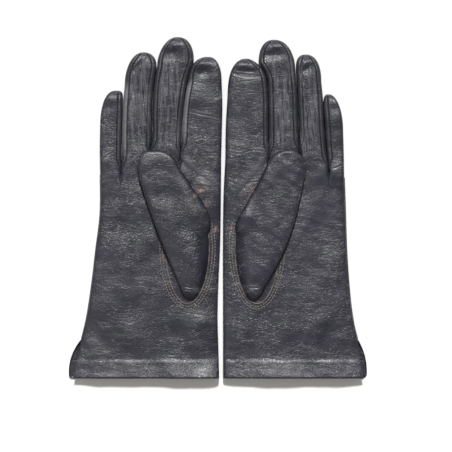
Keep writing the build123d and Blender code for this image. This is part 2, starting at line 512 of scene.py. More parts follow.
def stitches(name: str, line: np.ndarray, hand: Hand, stitch: Stitch) -> bpy.types.Object:
    """A row of separate stitches laid along a line.

    Args:
        name: the piece's name.
        line: (count, 3) places in millimetres.
        hand: the glove that it belongs to.
        stitch: the kind of stitch.

    Returns:
        One mesh that holds the whole row.
    """
    steps = np.linalg.norm(np.diff(line, axis=0), axis=1)
    run = np.concatenate([[0], np.cumsum(steps)])
    centres = np.arange(stitch.skip_ends + stitch.pitch / 2, run[-1] - stitch.skip_ends, stitch.pitch)
    deselect()
    bpy.ops.mesh.primitive_uv_sphere_add(segments=6, ring_count=5, radius=1)
    bead = bpy.context.object
    shape = np.array([v.co for v in bead.data.vertices])
    loops = [list(p.vertices) for p in bead.data.polygons]
    bpy.data.objects.remove(bead)
    shape[:, 2] = np.sign(shape[:, 2]) * np.abs(shape[:, 2]) ** 0.6
    verts, faces = [], []
    half, radius = stitch.length / 2, stitch.radius
    for at in centres:
        ends = [np.array([np.interp(at + s, run, line[:, i]) for i in range(3)]) for s in (-half, half)]
        axis = (ends[1] - ends[0]) / max(np.linalg.norm(ends[1] - ends[0]), 1e-9)
        side = np.cross(axis, [0, 0, 1.0])
        side /= max(np.linalg.norm(side), 1e-9)
        rise = np.cross(side, axis)
        middle = (ends[0] + ends[1]) / 2
        base = len(verts)
        for x, y, z in shape:
            verts.append(middle + axis * z * half + side * x * radius + rise * y * radius)
        faces += [[base + i for i in loop] for loop in loops]
    mesh = bpy.data.meshes.new(name)
    co = np.array(verts) * MM * np.array([hand.value, 1, 1])
    mesh.from_pydata(co.tolist(), [], faces)
    piece = bpy.data.objects.new(name, mesh)
    bpy.context.scene.collection.objects.link(piece)
    activate(piece)
    bpy.ops.object.mode_set(mode="EDIT")
    bpy.ops.mesh.select_all(action="SELECT")
    bpy.ops.mesh.normals_make_consistent(inside=False)
    bpy.ops.object.mode_set(mode="OBJECT")
    mesh.shade_smooth()
    return piece


def joined(name: str, pieces: Sequence[bpy.types.Object]) -> bpy.types.Object:
    """Joins several objects into one and names it.

    Args:
        name: the name of the joined piece.
        pieces: the objects; the first one takes in the others.

    Returns:
        The joined piece.
    """
    deselect()
    for piece in pieces:
        piece.select_set(True)
    bpy.context.view_layer.objects.active = pieces[0]
    if len(pieces) > 1:
        bpy.ops.object.join()
    pieces[0].name = name
    pieces[0].data.name = name
    return pieces[0]


# ---------------------------------------------------------------- finishes


def socket_group(name: str, inputs: dict[str, float], outputs: Sequence[str]) -> bpy.types.NodeTree:
    """Starts a node group with number inputs and outputs.

    Args:
        name: the group's name.
        inputs: each input's name and default value.
        outputs: the outputs' names.

    Returns:
        The group, with its two interface nodes named in and out.
    """
    group = bpy.data.node_groups.new(name, "ShaderNodeTree")
    for label, value in inputs.items():
        made = group.interface.new_socket(name=label, in_out="INPUT", socket_type="NodeSocketFloat")
        made.default_value = value
    for label in outputs:
        group.interface.new_socket(name=label, in_out="OUTPUT", socket_type="NodeSocketFloat")
    group.nodes.new("NodeGroupInput").name = "in"
    group.nodes.new("NodeGroupOutput").name = "out"
    return group


def add(tree: bpy.types.NodeTree, kind: str, **values: object) -> bpy.types.Node:
    """Adds a node, sets its properties, and sets or links its inputs.

    Args:
        tree: the material's or group's tree.
        kind: the node's type, without the ShaderNode prefix.
        values: properties by name; inputs by name with an in_ prefix, as a value or as a socket to link.

    Returns:
        The node.
    """
    node = tree.nodes.new("ShaderNode" + kind)
    for key, value in values.items():
        if not key.startswith("in_"):
            setattr(node, key, value)
    for key, value in values.items():
        if key.startswith("in_"):
            label = key[3:].replace("_", " ")
            target = node.inputs[int(label)] if label.isdigit() else node.inputs[label]
            if isinstance(value, bpy.types.NodeSocket):
                tree.links.new(value, target)
            else:
                target.default_value = value
    return node


def times(tree: bpy.types.NodeTree, a: object, b: object) -> bpy.types.NodeSocket:
    """Multiplies two numbers, each given as a value or a socket, and returns the result's socket."""
    return add(tree, "Math", operation="MULTIPLY", in_0=a, in_1=b).outputs[0]


def grain_group() -> bpy.types.NodeTree:
    """The pebbled grain of fine glove leather: small cells with soft valleys, and pores.

    Returns:
        The group.
    """
    group = socket_group("leather_grain", {"Cell": 1100.0, "Pore": 2600.0}, ["Height"])
    ends = group.nodes["in"].outputs
    place = add(group, "TexCoord").outputs["Object"]
    warp = add(group, "TexNoise", in_Vector=place, in_Scale=900.0, in_Detail=2.0).outputs["Color"]
    bend = (0.0005, 0.0005, 0.0005)
    bent = add(group, "VectorMath", operation="MULTIPLY_ADD", in_0=warp, in_1=bend, in_2=place).outputs[0]
    cells = add(group, "TexVoronoi", feature="DISTANCE_TO_EDGE", in_Vector=bent, in_Scale=ends["Cell"])
    ramp = add(group, "MapRange", in_Value=cells.outputs["Distance"], in_From_Max=0.22).outputs[0]
    pores = add(group, "TexNoise", in_Vector=place, in_Scale=ends["Pore"], in_Detail=3.0)
    both = add(group, "Math", operation="MULTIPLY_ADD", in_0=pores.outputs["Fac"], in_1=0.35, in_2=ramp)
    group.links.new(both.outputs[0], group.nodes["out"].inputs["Height"])
    return group


def crease_group() -> bpy.types.NodeTree:
    """Fine crease lines that run mostly across the hand, broken into short stretches.

    Returns:
        The group.
    """
    inputs = {"Scale": 90.0, "Stretch": 3.2, "Width": 0.050, "Cover": 0.5}
    group = socket_group("fine_creases", inputs, ["Lines"])
    ends = group.nodes["in"].outputs
    place = add(group, "TexCoord").outputs["Object"]
    warp = add(group, "TexNoise", in_Vector=place, in_Scale=70.0, in_Detail=3.0).outputs["Color"]
    bend = (0.012, 0.012, 0.0)
    bent = add(group, "VectorMath", operation="MULTIPLY_ADD", in_0=warp, in_1=bend, in_2=place).outputs[0]
    pull = add(group, "CombineXYZ", in_X=1.0, in_Y=ends["Stretch"], in_Z=1.0).outputs[0]
    pulled = add(group, "VectorMath", operation="MULTIPLY", in_0=bent, in_1=pull).outputs[0]
    cells = add(group, "TexVoronoi", feature="DISTANCE_TO_EDGE", in_Vector=pulled, in_Scale=ends["Scale"])
    line = add(group, "MapRange", in_Value=cells.outputs["Distance"], in_From_Max=ends["Width"]).outputs[0]
    flip = add(group, "Math", operation="SUBTRACT", in_0=1.0, in_1=line).outputs[0]
    patch = add(group, "TexNoise", in_Vector=place, in_Scale=60.0, in_Detail=4.0, in_Roughness=0.65)
    fac = patch.outputs["Fac"]
    shown = add(group, "MapRange", in_Value=fac, in_From_Min=ends["Cover"], in_From_Max=0.72).outputs[0]
    group.links.new(times(group, flip, shown), group.nodes["out"].inputs["Lines"])
    return group


def crumple_group() -> bpy.types.NodeTree:
    """The soft crumple of thin leather, a few millimetres across and stronger in some patches.

    Returns:
        The group.
    """
    group = socket_group("soft_crumple", {"Scale": 120.0, "Stretch": 1.9}, ["Height"])
    ends = group.nodes["in"].outputs
    place = add(group, "TexCoord").outputs["Object"]
    pull = add(group, "CombineXYZ", in_X=1.0, in_Y=ends["Stretch"], in_Z=1.0).outputs[0]
    pulled = add(group, "VectorMath", operation="MULTIPLY", in_0=place, in_1=pull).outputs[0]
    noise = add(
        group, "TexNoise", in_Vector=pulled, in_Scale=ends["Scale"], in_Detail=2.2, in_Roughness=0.5,
        in_Distortion=0.8,
    ).outputs["Fac"]
    patch = add(group, "TexNoise", in_Vector=place, in_Scale=34.0, in_Detail=2.0).outputs["Fac"]
    strong = add(group, "MapRange", in_Value=patch, in_From_Min=0.36, in_From_Max=0.62, in_To_Min=0.3)
    group.links.new(times(group, noise, strong.outputs[0]), group.nodes["out"].inputs["Height"])
    return group


def cloud_group() -> bpy.types.NodeTree:
    """Slow clouds that vary a tint or a gloss over a few centimetres.

    Returns:
        The group.
    """
    group = socket_group("tint_clouds", {"Scale": 22.0, "Low": 0.35, "High": 0.68}, ["Mask"])
    ends = group.nodes["in"].outputs
    place = add(group, "TexCoord").outputs["Object"]
    noise = add(group, "TexNoise", in_Vector=place, in_Scale=ends["Scale"], in_Detail=5.0, in_Roughness=0.6)
    fac = noise.outputs["Fac"]
    mask = add(group, "MapRange", in_Value=fac, in_From_Min=ends["Low"], in_From_Max=ends["High"])
    group.links.new(mask.outputs[0], group.nodes["out"].inputs["Mask"])
    return group


@dataclass
class Effects:
    """The node groups that several finishes share."""

    grain: bpy.types.NodeTree
    creases: bpy.types.NodeTree
    clouds: bpy.types.NodeTree
    crumple: bpy.types.NodeTree

    @classmethod
    def build(cls) -> "Effects":
        """Makes each group once."""
        return cls(grain_group(), crease_group(), cloud_group(), crumple_group())


def group_node(tree: bpy.types.NodeTree, group: bpy.types.NodeTree, **values: float) -> bpy.types.Node:
    """Places a node group in a material with its own values.

    Args:
        tree: the material's tree.
        group: the node group.
        values: the group's inputs by name.

    Returns:
        The group's node.
    """
    node = tree.nodes.new("ShaderNodeGroup")
    node.node_tree = group
    for label, value in values.items():
        node.inputs[label].default_value = value
    return node


def mix_colour(
    tree: bpy.types.NodeTree, factor: object, a: object, b: object, blend: str = "MIX"
) -> bpy.types.NodeSocket:
    """Mixes two colours, each given as a value or a socket, and returns the result's socket.

    Args:
        tree: the material's or group's tree.
        factor: the share of the second colour.
        a: the first colour.
        b: the second colour.
        blend: how the second colour is laid over the first.

    Returns:
        The mixed colour's socket.
    """
    node = tree.nodes.new("ShaderNodeMix")
    node.data_type = "RGBA"
    node.blend_type = blend
    for socket, value in ((node.inputs[0], factor), (node.inputs[6], a), (node.inputs[7], b)):
        if isinstance(value, bpy.types.NodeSocket):
            tree.links.new(value, socket)
        else:
            socket.default_value = value if isinstance(value, float) else (*value, 1.0)
    return node.outputs[2]


def blank_material(name: str) -> tuple[bpy.types.Material, bpy.types.NodeTree, bpy.types.Node]:
    """Starts a material, and returns it with its tree and its shader.

    Args:
        name: the material's name.

    Returns:
        The material, its node tree and its Principled shader.
    """
    material = bpy.data.materials.new(name)
    material.use_nodes = True
    return material, material.node_tree, material.node_tree.nodes["Principled BSDF"]


def bump(
    tree: bpy.types.NodeTree,
    height: bpy.types.NodeSocket,
    strength: float,
    distance: float,
    under: bpy.types.NodeSocket | None = None,
    sunk: bool = False,
) -> bpy.types.NodeSocket:
    """Adds a bump.

    Args:
        tree: the material's tree.
        height: the pattern that it follows.
        strength: its strength, from 0 to 1.
        distance: the pattern's full height in metres.
        under: the normal of the bump that it lies on, if any.
        sunk: whether the pattern is pressed in.

    Returns:
        The new normal's socket.
    """
    node = add(tree, "Bump", invert=sunk, in_Strength=strength, in_Distance=distance, in_Height=height)
    if under is not None:
        tree.links.new(under, node.inputs["Normal"])
    return node.outputs[0]


@dataclass(frozen=True)
class LeatherFinish:
    """Dyed glove leather: two dark tints, pale creases and a satin surface.

    The mixes say how much of the pale crease colour each kind of mark takes, and a bump is its strength and
    its distance in metres.
    """

    name: str
    base: tuple[float, float, float] = (0.0088, 0.0090, 0.0178)
    tint: tuple[float, float, float] = (0.0185, 0.0175, 0.0300)
    green: tuple[float, float, float] = (0.0070, 0.0115, 0.0145)
    crease: tuple[float, float, float] = (0.21, 0.205, 0.225)
    scuff: tuple[float, float, float] = (0.27, 0.185, 0.15)
    gloss_low: float = 0.28
    gloss_high: float = 0.46
    coat: float = 0.16
    coat_rough: float = 0.36
    grain_cell: float = 1000.0
    line_cover: float = 0.50
    line_scale: float = 62.0
    line_stretch: float = 2.8
    crinkle_scale: float = 372.0
    line_mix: float = 0.55
    crinkle_mix: float = 0.05
    worn_mix: float = 0.26
    grain_bump: tuple[float, float] = (0.6, 0.0001)
    crinkle_bump: tuple[float, float] = (0.8, 0.0002)
    crumple_bump: tuple[float, float] = (1.0, 0.0005)
    line_bump: tuple[float, float] = (1.0, 0.0003)

    def build(self, effects: Effects) -> bpy.types.Material:
        """Makes the material from the shared effects.

        Args:
            effects: the shared node groups.

        Returns:
            The material.
        """
        material, tree, shader = blank_material(self.name)
        clouds = group_node(tree, effects.clouds).outputs["Mask"]
        small = group_node(tree, effects.clouds, Scale=75.0, Low=0.5, High=0.75).outputs["Mask"]
        lines = group_node(
            tree, effects.creases, Scale=self.line_scale, Cover=self.line_cover, Stretch=self.line_stretch
        ).outputs["Lines"]
        crinkle = group_node(
            tree, effects.creases, Scale=self.crinkle_scale, Cover=0.34, Stretch=1.4, Width=0.14
        ).outputs["Lines"]
        grain = group_node(tree, effects.grain, Cell=self.grain_cell).outputs["Height"]
        worn = add(tree, "Attribute", attribute_name="worn").outputs["Fac"]
        body = mix_colour(tree, clouds, self.base, self.tint)
        body = mix_colour(tree, small, body, self.green)
        for mark, share in ((lines, self.line_mix), (crinkle, self.crinkle_mix), (worn, self.worn_mix)):
            body = mix_colour(tree, times(tree, mark, share), body, self.crease)
        scuff = add(tree, "Attribute", attribute_name="scuff").outputs["Fac"]
        flakes = group_node(tree, effects.clouds, Scale=620.0, Low=0.46, High=0.6).outputs["Mask"]
        body = mix_colour(tree, times(tree, scuff, flakes), body, self.scuff)
        tree.links.new(body, shader.inputs["Base Color"])
        shine = {"in_To_Min": self.gloss_high, "in_To_Max": self.gloss_low}
        rough = add(tree, "MapRange", in_Value=grain, in_From_Max=1.3, **shine)
        tree.links.new(rough.outputs[0], shader.inputs["Roughness"])
        shader.inputs["Specular IOR Level"].default_value = 0.5
        shader.inputs["Coat Weight"].default_value = self.coat
        shader.inputs["Coat Roughness"].default_value = self.coat_rough
        folds = group_node(tree, effects.crumple).outputs["Height"]
        normal = bump(tree, grain, *self.grain_bump)
        normal = bump(tree, crinkle, *self.crinkle_bump, under=normal, sunk=True)
        normal = bump(tree, folds, *self.crumple_bump, under=normal)
        normal = bump(tree, lines, *self.line_bump, under=normal, sunk=True)
        tree.links.new(normal, shader.inputs["Normal"])
        return material


@dataclass(frozen=True)
class EdgeFinish:
    """Cut, undyed leather at a raw edge: tan with fibres."""

    name: str
    light: tuple[float, float, float] = (0.20, 0.175, 0.155)
    dark: tuple[float, float, float] = (0.05, 0.046, 0.046)

    def build(self, effects: Effects) -> bpy.types.Material:
        """Makes the material from the shared effects.

        Args:
            effects: the shared node groups.

        Returns:
            The material.
        """
        material, tree, shader = blank_material(self.name)
        clouds = group_node(tree, effects.clouds, Scale=140.0, Low=0.4, High=0.62).outputs["Mask"]
        tree.links.new(mix_colour(tree, clouds, self.dark, self.light), shader.inputs["Base Color"])
        grain = group_node(tree, effects.grain, Cell=2400.0).outputs["Height"]
        shader.inputs["Roughness"].default_value = 0.85
        tree.links.new(bump(tree, grain, 0.5, 0.0001), shader.inputs["Normal"])
        return material


@dataclass(frozen=True)
class ThreadFinish:
    """Spun sewing thread, with slanting plies that show as bands along it."""

    name: str
    light: tuple[float, float, float]
    dark: tuple[float, float, float]

    def build(self, effects: Effects) -> bpy.types.Material:
        """Makes the material from the shared effects.

        Args:
            effects: the shared node groups.

        Returns:
            The material.
        """
        material, tree, shader = blank_material(self.name)
        place = add(tree, "TexCoord").outputs["Object"]
        plies = add(
            tree, "TexWave", bands_direction="DIAGONAL", in_Vector=place, in_Scale=900.0, in_Distortion=1.5
        ).outputs["Fac"]
        clouds = group_node(tree, effects.clouds, Scale=60.0).outputs["Mask"]
        body = mix_colour(tree, plies, self.dark, self.light)
        body = mix_colour(tree, times(tree, clouds, 0.5), body, self.dark)
        tree.links.new(body, shader.inputs["Base Color"])
        shader.inputs["Roughness"].default_value = 0.7
        shader.inputs["Sheen Weight"].default_value = 0.2
        tree.links.new(bump(tree, plies, 0.6, 0.0001), shader.inputs["Normal"])
        return material


@dataclass
class Finishes:
    """Every material of the pair."""

    grain: bpy.types.Material
    strip: bpy.types.Material
    raw: bpy.types.Material
    tan_thread: bpy.types.Material
    dark_thread: bpy.types.Material

    @classmethod
    def build(cls) -> "Finishes":
        """Makes the materials once, for both gloves.

        Returns:
            All of them.
        """
        effects = Effects.build()
        strip = LeatherFinish(
            "fourchette_leather",
            base=(0.0125, 0.0125, 0.0190),
            tint=(0.0260, 0.0240, 0.0330),
            line_cover=0.56,
            line_stretch=0.5,
        )
        return cls(
            LeatherFinish("glove_leather").build(effects),
            strip.build(effects),
            EdgeFinish("raw_leather_edge").build(effects),
            ThreadFinish("tan_thread", (0.36, 0.30, 0.25), (0.12, 0.098, 0.084)).build(effects),
            ThreadFinish("dark_thread", (0.07, 0.065, 0.07), (0.014, 0.014, 0.016)).build(effects),
        )


# ---------------------------------------------------------------- the plan of a glove


@dataclass(frozen=True)
class FrameSizes:
    """Places of the left-hand glove in the frame, in millimetres; the right-hand one mirrors it."""

    cuff: float
    depth: float
    knuckle: float
    little_knuckle: float
    vent_top: float
    thumb_top: float
    hole_centre: tuple[float, float]
    hole_half: tuple[float, float]
    mouth_centre: tuple[float, float]
    mouth_half: tuple[float, float] = (9.5, 23.5)
    leather: float = 0.7
    hem: float = 13.0

    @classmethod
    def read(cls) -> "FrameSizes":
        """Reads the boxes of the frame's nodes; the hole and the thumb's mouth are set in from them.

        Returns:
            The sizes.
        """
        margin = 4.0
        mouth_in, mouth_up = 0.4, 31.6
        low, high = (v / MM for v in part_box("left_palm"))
        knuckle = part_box("left_index_back")[0].y / MM
        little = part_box("left_little_back")[0].y / MM
        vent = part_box("left_side_seam")[0].y / MM
        thumb_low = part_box("left_thumb_back")[0] / MM
        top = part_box("left_thumb_front")[1].z / MM
        root_low, root_high = (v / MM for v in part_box("left_thumb_root"))
        centre = ((root_low.x + root_high.x) / 2, (root_low.y + root_high.y) / 2)
        half = ((root_high.x - root_low.x) / 2 - margin, (root_high.y - root_low.y) / 2 - margin)
        mouth = (centre[0] - mouth_in, thumb_low.y + mouth_up)
        return cls(low.y, high.z, knuckle, little, vent, top, centre, half, mouth)


@dataclass(frozen=True)
class FingerPlan:
    """A finger's flat outline: points up its two sides to the shoulders, and its tip.

    pale says how much of its outer fourchette's dye is worn away, and closing how far its sides lean out
    towards its neighbours above the crotch.
    """

    name: str
    inner: Points
    outer: Points
    tip: tuple[float, float]
    inner_power: float = 2.3
    outer_power: float = 2.3
    pale: float = 0.0
    closing: float = 0.17
    closing_run: float = 8.0

    def points(self, edge: Edge) -> Points:
        """The outline's points up one side."""
        return self.inner if edge is Edge.INNER else self.outer

    def crotch(self, edge: Edge) -> float:
        """How far up one side starts."""
        return self.points(edge)[0][0]

    def side(self, edge: Edge, up: np.ndarray) -> np.ndarray:
        """How far out one side lies at some heights along the finger.

        Args:
            edge: the side.
            up: distances towards the fingertips.

        Returns:
            Distances from the middle plane.
        """
        points = self.points(edge)
        power = self.inner_power if edge is Edge.INNER else self.outer_power
        shoulder_up, shoulder_out = points[-1]
        along = np.clip((up - shoulder_up) / (self.tip[1] - shoulder_up), 0, 1)
        past = (1 - along**power) ** (1 / power)
        rounded = self.tip[0] + (shoulder_out - self.tip[0]) * past
        out = np.where(up > shoulder_up, rounded, through(points)(up))
        free = (edge is Edge.INNER and self.name == "index") or (edge is Edge.OUTER and self.name == "little")
        grow = 0.0 if free else self.closing * smooth((up - self.crotch(edge)) / self.closing_run) * past
        return out - grow if edge is Edge.INNER else out + grow


@dataclass(frozen=True)
class ThumbPlan:
    """The folded thumb's flat outline, from its base to its tip."""

    inner: Points
    outer: Points
    base: tuple[float, float]
    tip: tuple[float, float]
    inner_power: float = 2.2
    outer_power: float = 2.2
    base_inner_power: float = 2.2
    base_outer_power: float = 1.35

    def side(self, edge: Edge, up: np.ndarray) -> np.ndarray:
        """How far out one side lies at some heights along the thumb.

        Args:
            edge: the side.
            up: distances towards the fingertips.

        Returns:
            Distances from the middle plane.
        """
        inner = edge is Edge.INNER
        points = self.inner if inner else self.outer
        top_power = self.inner_power if inner else self.outer_power
        base_power = self.base_inner_power if inner else self.base_outer_power
        out = through(points)(up)
        for (end_up, end_out), (tip_out, tip_up), power in (
            (points[-1], self.tip, top_power),
            (points[0], self.base, base_power),
        ):
            along = np.clip((up - end_up) / (tip_up - end_up), 0, 1)
            rounded = tip_out + (end_out - tip_out) * (1 - along**power) ** (1 / power)
            past = up > end_up if tip_up > end_up else up < end_up
            out = np.where(past, rounded, out)
        return out


@dataclass(frozen=True)
class GlovePlan:
    """One glove's outline and its own creases.

    palm_corner and flap say how far out the vent's two edges reach at the cuff, and flap_round how much of
    the flap's corner is rounded off.
    """

    hand: Hand
    fingers: tuple[FingerPlan, ...]
    thumb: ThumbPlan
    fold_side: Points
    outer_side: Points
    palm_corner: float
    flap: float
    flap_round: float
    front: Relief
    back: Relief
    thumb_front: Relief


# ---------------------------------------------------------------- the glove


@dataclass
class Sheet:
    """Where each face's surface lies: the depth of the glove along its length, and its section."""

    sizes: FrameSizes
    plan: GlovePlan
    hand_power: float = 3.4
    finger_power: float = 4.2
    valley: float = 15.0
    spare: float = 0.15
    hem_rise: float = 0.45
    hem_ridge: float = 0.05
    cuff_roll: float = 0.9
    cuff_fullness: Points = ((0, 0.92), (15, 0.77), (32, 0.86), (55, 0.94), (80, 0.96))
    full_from: float = 60.0

    def half_depth(self, up: np.ndarray) -> np.ndarray:
        """Half the glove's thickness at some heights along it.

        Args:
            up: distances towards the fingertips.

        Returns:
            Half thicknesses.
        """
        full = self.sizes.depth / 2 - self.spare
        shares = [(self.sizes.cuff + above, share) for above, share in self.cuff_fullness]
        return full * through([*shares, (self.full_from, 1.0)])(up)

    def vent_open(self, up: np.ndarray) -> np.ndarray:
        """How far the vent is open, 0 at its top and 1 at the cuff."""
        return smooth((self.sizes.vent_top - up) / (self.sizes.vent_top - self.sizes.cuff))

    def hem_step(self, up: np.ndarray) -> np.ndarray:
        """The rise over the turned-in hem, with a ridge at its edge.

        Args:
            up: distances towards the fingertips.

        Returns:
            How far the leather is lifted, or rolled down at the cuff's edge.
        """
        edge = self.sizes.cuff + self.sizes.hem
        step = self.hem_rise * smooth((edge + 1.8 - up) / 3.6)
        ridge = self.hem_ridge * np.exp(-(((up - edge + 0.6) / 0.9) ** 2))
        roll = self.cuff_roll * np.clip(1 - (up - self.sizes.cuff) / 1.2, 0, 1) ** 2
        return step + ridge - roll

    def sides(self, up: np.ndarray, face: Face) -> tuple[np.ndarray, np.ndarray]:
        """The fold side and the outer side of the hand at some heights, with the vent below vent_top.

        Args:
            up: distances towards the fingertips.
            face: palm or back.

        Returns:
            Distances from the middle plane of the two sides.
        """
        inner = through(self.plan.fold_side)(up)
        outer = through(self.plan.outer_side)(up)
        top = self.sizes.vent_top
        down = np.clip((top - up) / (top - self.sizes.cuff), 0, 1)
        start = through(self.plan.outer_side)(np.array([top]))[0]
        if face is Face.FRONT:
            vent = start + (self.plan.palm_corner - start) * down
        else:
            swell = 1 - np.clip(1 - down / 0.88, 0, 1) ** 2.2
            corner = np.clip((self.sizes.cuff + 3.5 - up) / 3.5, 0, 1) ** 2.5
            vent = start + (self.plan.flap - start) * swell - self.plan.flap_round * corner
        return inner, np.where(up < top, vent, outer)

    def hand_height(self, share: np.ndarray, up: np.ndarray, face: Face, fill: np.ndarray) -> np.ndarray:
        """The height of the hand's surface, with the vent's edge lifted open.

        Args:
            share: share of the width, from the fold side.
            up: distance towards the fingertips.
            face: palm or back.
            fill: how full the section is there, from 0 to 1.

        Returns:
            Heights above the surface that the glove lies on.
        """
        half = self.half_depth(up)
        lift = self.vent_open(up) * np.clip(share, 0, 1) ** 5
        fill = fill + (1 - fill) * lift * (0.55 if face is Face.FRONT else 0.9)
        return half + face.value * half * fill


@dataclass
class FingerMaker:
    """Builds one finger's panels, fourchettes and seam threads."""

    plan: FingerPlan
    sheet: Sheet
    knuckle: float
    seamed: tuple[Edge, ...]
    rows: int = 168
    panel_columns: int = 34
    strip_columns: int = 8
    crowding: float = 0.72
    seam_reach: float = 3.5
    seam_run: float = 10.0
    seam_width: float = 0.42
    seam_depth: float = 0.6
    ridge_away: float = 0.95
    ridge_rise: float = 0.32
    ridge_wear: float = 0.55
    tip_taper: float = 9.0
    tip_power: float = 2.3
    tip_low: float = 0.34
    stitch_pitch: float = 2.2

    def shares(self) -> np.ndarray:
        """Shares of the finger's width at the panel's columns, closer together at its sides."""
        return clustered(self.panel_columns, self.crowding)

    def ups(self, start: np.ndarray) -> np.ndarray:
        """Row heights from a start line to the tip, closer together at the tip.

        Args:
            start: how far up each column starts.

        Returns:
            Distances towards the fingertips, as (rows, columns).
        """
        q = np.linspace(0, 1, self.rows + 1)
        g = np.where(q < 0.8, q / 0.8 * 0.84, 0.84 + 0.16 * np.sin((q - 0.8) / 0.2 * np.pi / 2))
        return start[None, :] + (self.plan.tip[1] - start[None, :]) * g[:, None]

    def seam_out(self, edge: Edge, up: np.ndarray) -> np.ndarray:
        """How far out a seam lies: in from the finger's side, which it meets at the crotch.

        Args:
            edge: the side.
            up: distances towards the fingertips.

        Returns:
            Distances from the middle plane; the side itself where it carries no seam.
        """
        side = self.plan.side(edge, up)
        if edge not in self.seamed:
            return side
        width = self.plan.side(Edge.OUTER, up) - self.plan.side(Edge.INNER, up)
        reach = self.seam_reach * smooth((up - self.plan.crotch(edge)) / self.seam_run)
        gap = np.minimum(reach, 0.3 * width)
        return side + gap if edge is Edge.INNER else side - gap

    def surface(self, out: np.ndarray, up: np.ndarray, face: Face) -> tuple[np.ndarray, np.ndarray]:
        """The height and wear of the finger's surface at some places.

        Args:
            out: distances from the middle plane.
            up: distances towards the fingertips.
            face: palm or back.

        Returns:
            Heights above the floor, and wear from 0 to 1.
        """
        left = self.plan.side(Edge.INNER, up)
        right = self.plan.side(Edge.OUTER, up)
        width = np.maximum(right - left, 1e-6)
        share = np.clip((out - left) / width, 0, 1)
        fill = crown(share, self.sheet.finger_power)
        along = np.clip((up - (self.plan.tip[1] - self.tip_taper)) / self.tip_taper, 0, 1)
        taper = (1 - along**self.tip_power) ** (1 / self.tip_power)
        half = self.sheet.half_depth(up)
        middle = half * (self.tip_low + (1 - self.tip_low) * taper)
        relief = self.sheet.plan.front if face is Face.FRONT else self.sheet.plan.back
        rise, worn = relief.at(out, up)
        for edge in self.seamed:
            start = smooth((up - self.plan.crotch(edge)) / 5.0)
            away = np.abs(out - self.seam_out(edge, up))
            pucker = 0.62 + 0.38 * np.sin(TURN * up / self.stitch_pitch)
            ridge = np.exp(-(((away - self.ridge_away) / self.seam_width) ** 2)) * pucker
            groove = np.exp(-((away / self.seam_width) ** 2))
            rise = rise + start * (self.ridge_rise * ridge - self.seam_depth * groove)
            worn = worn + self.ridge_wear * start * ridge * pucker
        gate = np.clip(2.2 * fill, 0, 1) * np.clip(3 * taper, 0, 1)
        height = middle + face.value * half * taper * fill + rise * gate * face.relief
        return np.maximum(height, FLOOR_GAP), worn

    def panel(self, name: str, face: Face) -> Panel:
        """The front or back panel, from the crotch row to the tip.

        Args:
            name: the piece's name.
            face: palm or back.

        Returns:
            The panel.
        """
        p = self.shares()
        up = self.ups(self.start_line(p))
        low, high = self.seam_out(Edge.INNER, up), self.seam_out(Edge.OUTER, up)
        out = low + p[None, :] * (high - low)
        height, worn = self.surface(out, up, face)
        return Panel(name, np.stack([out, up, height], -1), worn)

    def start_line(self, share: np.ndarray) -> np.ndarray:
        """Where the finger starts, between its two crotches."""
        inner, outer = self.plan.crotch(Edge.INNER), self.plan.crotch(Edge.OUTER)
        return inner + (outer - inner) * share

    def strip(self, name: str, edge: Edge) -> Panel:
        """A fourchette: from the front seam round the finger's side to the back seam.

        Args:
            name: the piece's name.
            edge: the side that it closes.

        Returns:
            The strip as a panel.
        """
        up = self.ups(np.array([self.plan.crotch(edge)]))
        side, seam = self.plan.side(edge, up), self.seam_out(edge, up)
        q = np.sin(np.linspace(0, 1, self.strip_columns + 1) * np.pi / 2)[None, :]
        out = seam + q * (side - seam)
        ups = np.broadcast_to(up, out.shape).copy()
        front, worn_front = self.surface(out, ups, Face.FRONT)
        back, worn_back = self.surface(out, ups, Face.BACK)
        if edge is Edge.OUTER:
            start, end = self.plan.crotch(edge) + 8.0, self.plan.points(edge)[-1][0] + 4.0
            rubbed = smooth((ups - start) / 14.0) * smooth((end - ups) / 10.0)
            worn_front = worn_front + self.plan.pale * rubbed
        places = np.concatenate(
            [np.stack([out, ups, front], -1), np.stack([out, ups, back], -1)[:, ::-1][:, 1:]], axis=1
        )
        return Panel(name, places, np.concatenate([worn_front, worn_back[:, ::-1][:, 1:]], axis=1))

    def seam_line(self, edge: Edge, face: Face) -> np.ndarray:
        """The line that a seam's thread follows.

        Args:
            edge: the side that carries the seam.
            face: palm or back.

        Returns:
            Places along the line, as (count, 3).
        """
        clear_of_crotch, clear_of_tip, proud = 1.5, 2.5, 0.12
        up = np.linspace(self.plan.crotch(edge) + clear_of_crotch, self.plan.tip[1] - clear_of_tip, 90)
        out = self.seam_out(edge, up)
        height, _ = self.surface(out, up, face)
        return np.stack([out, up, height + proud * face.value], -1)


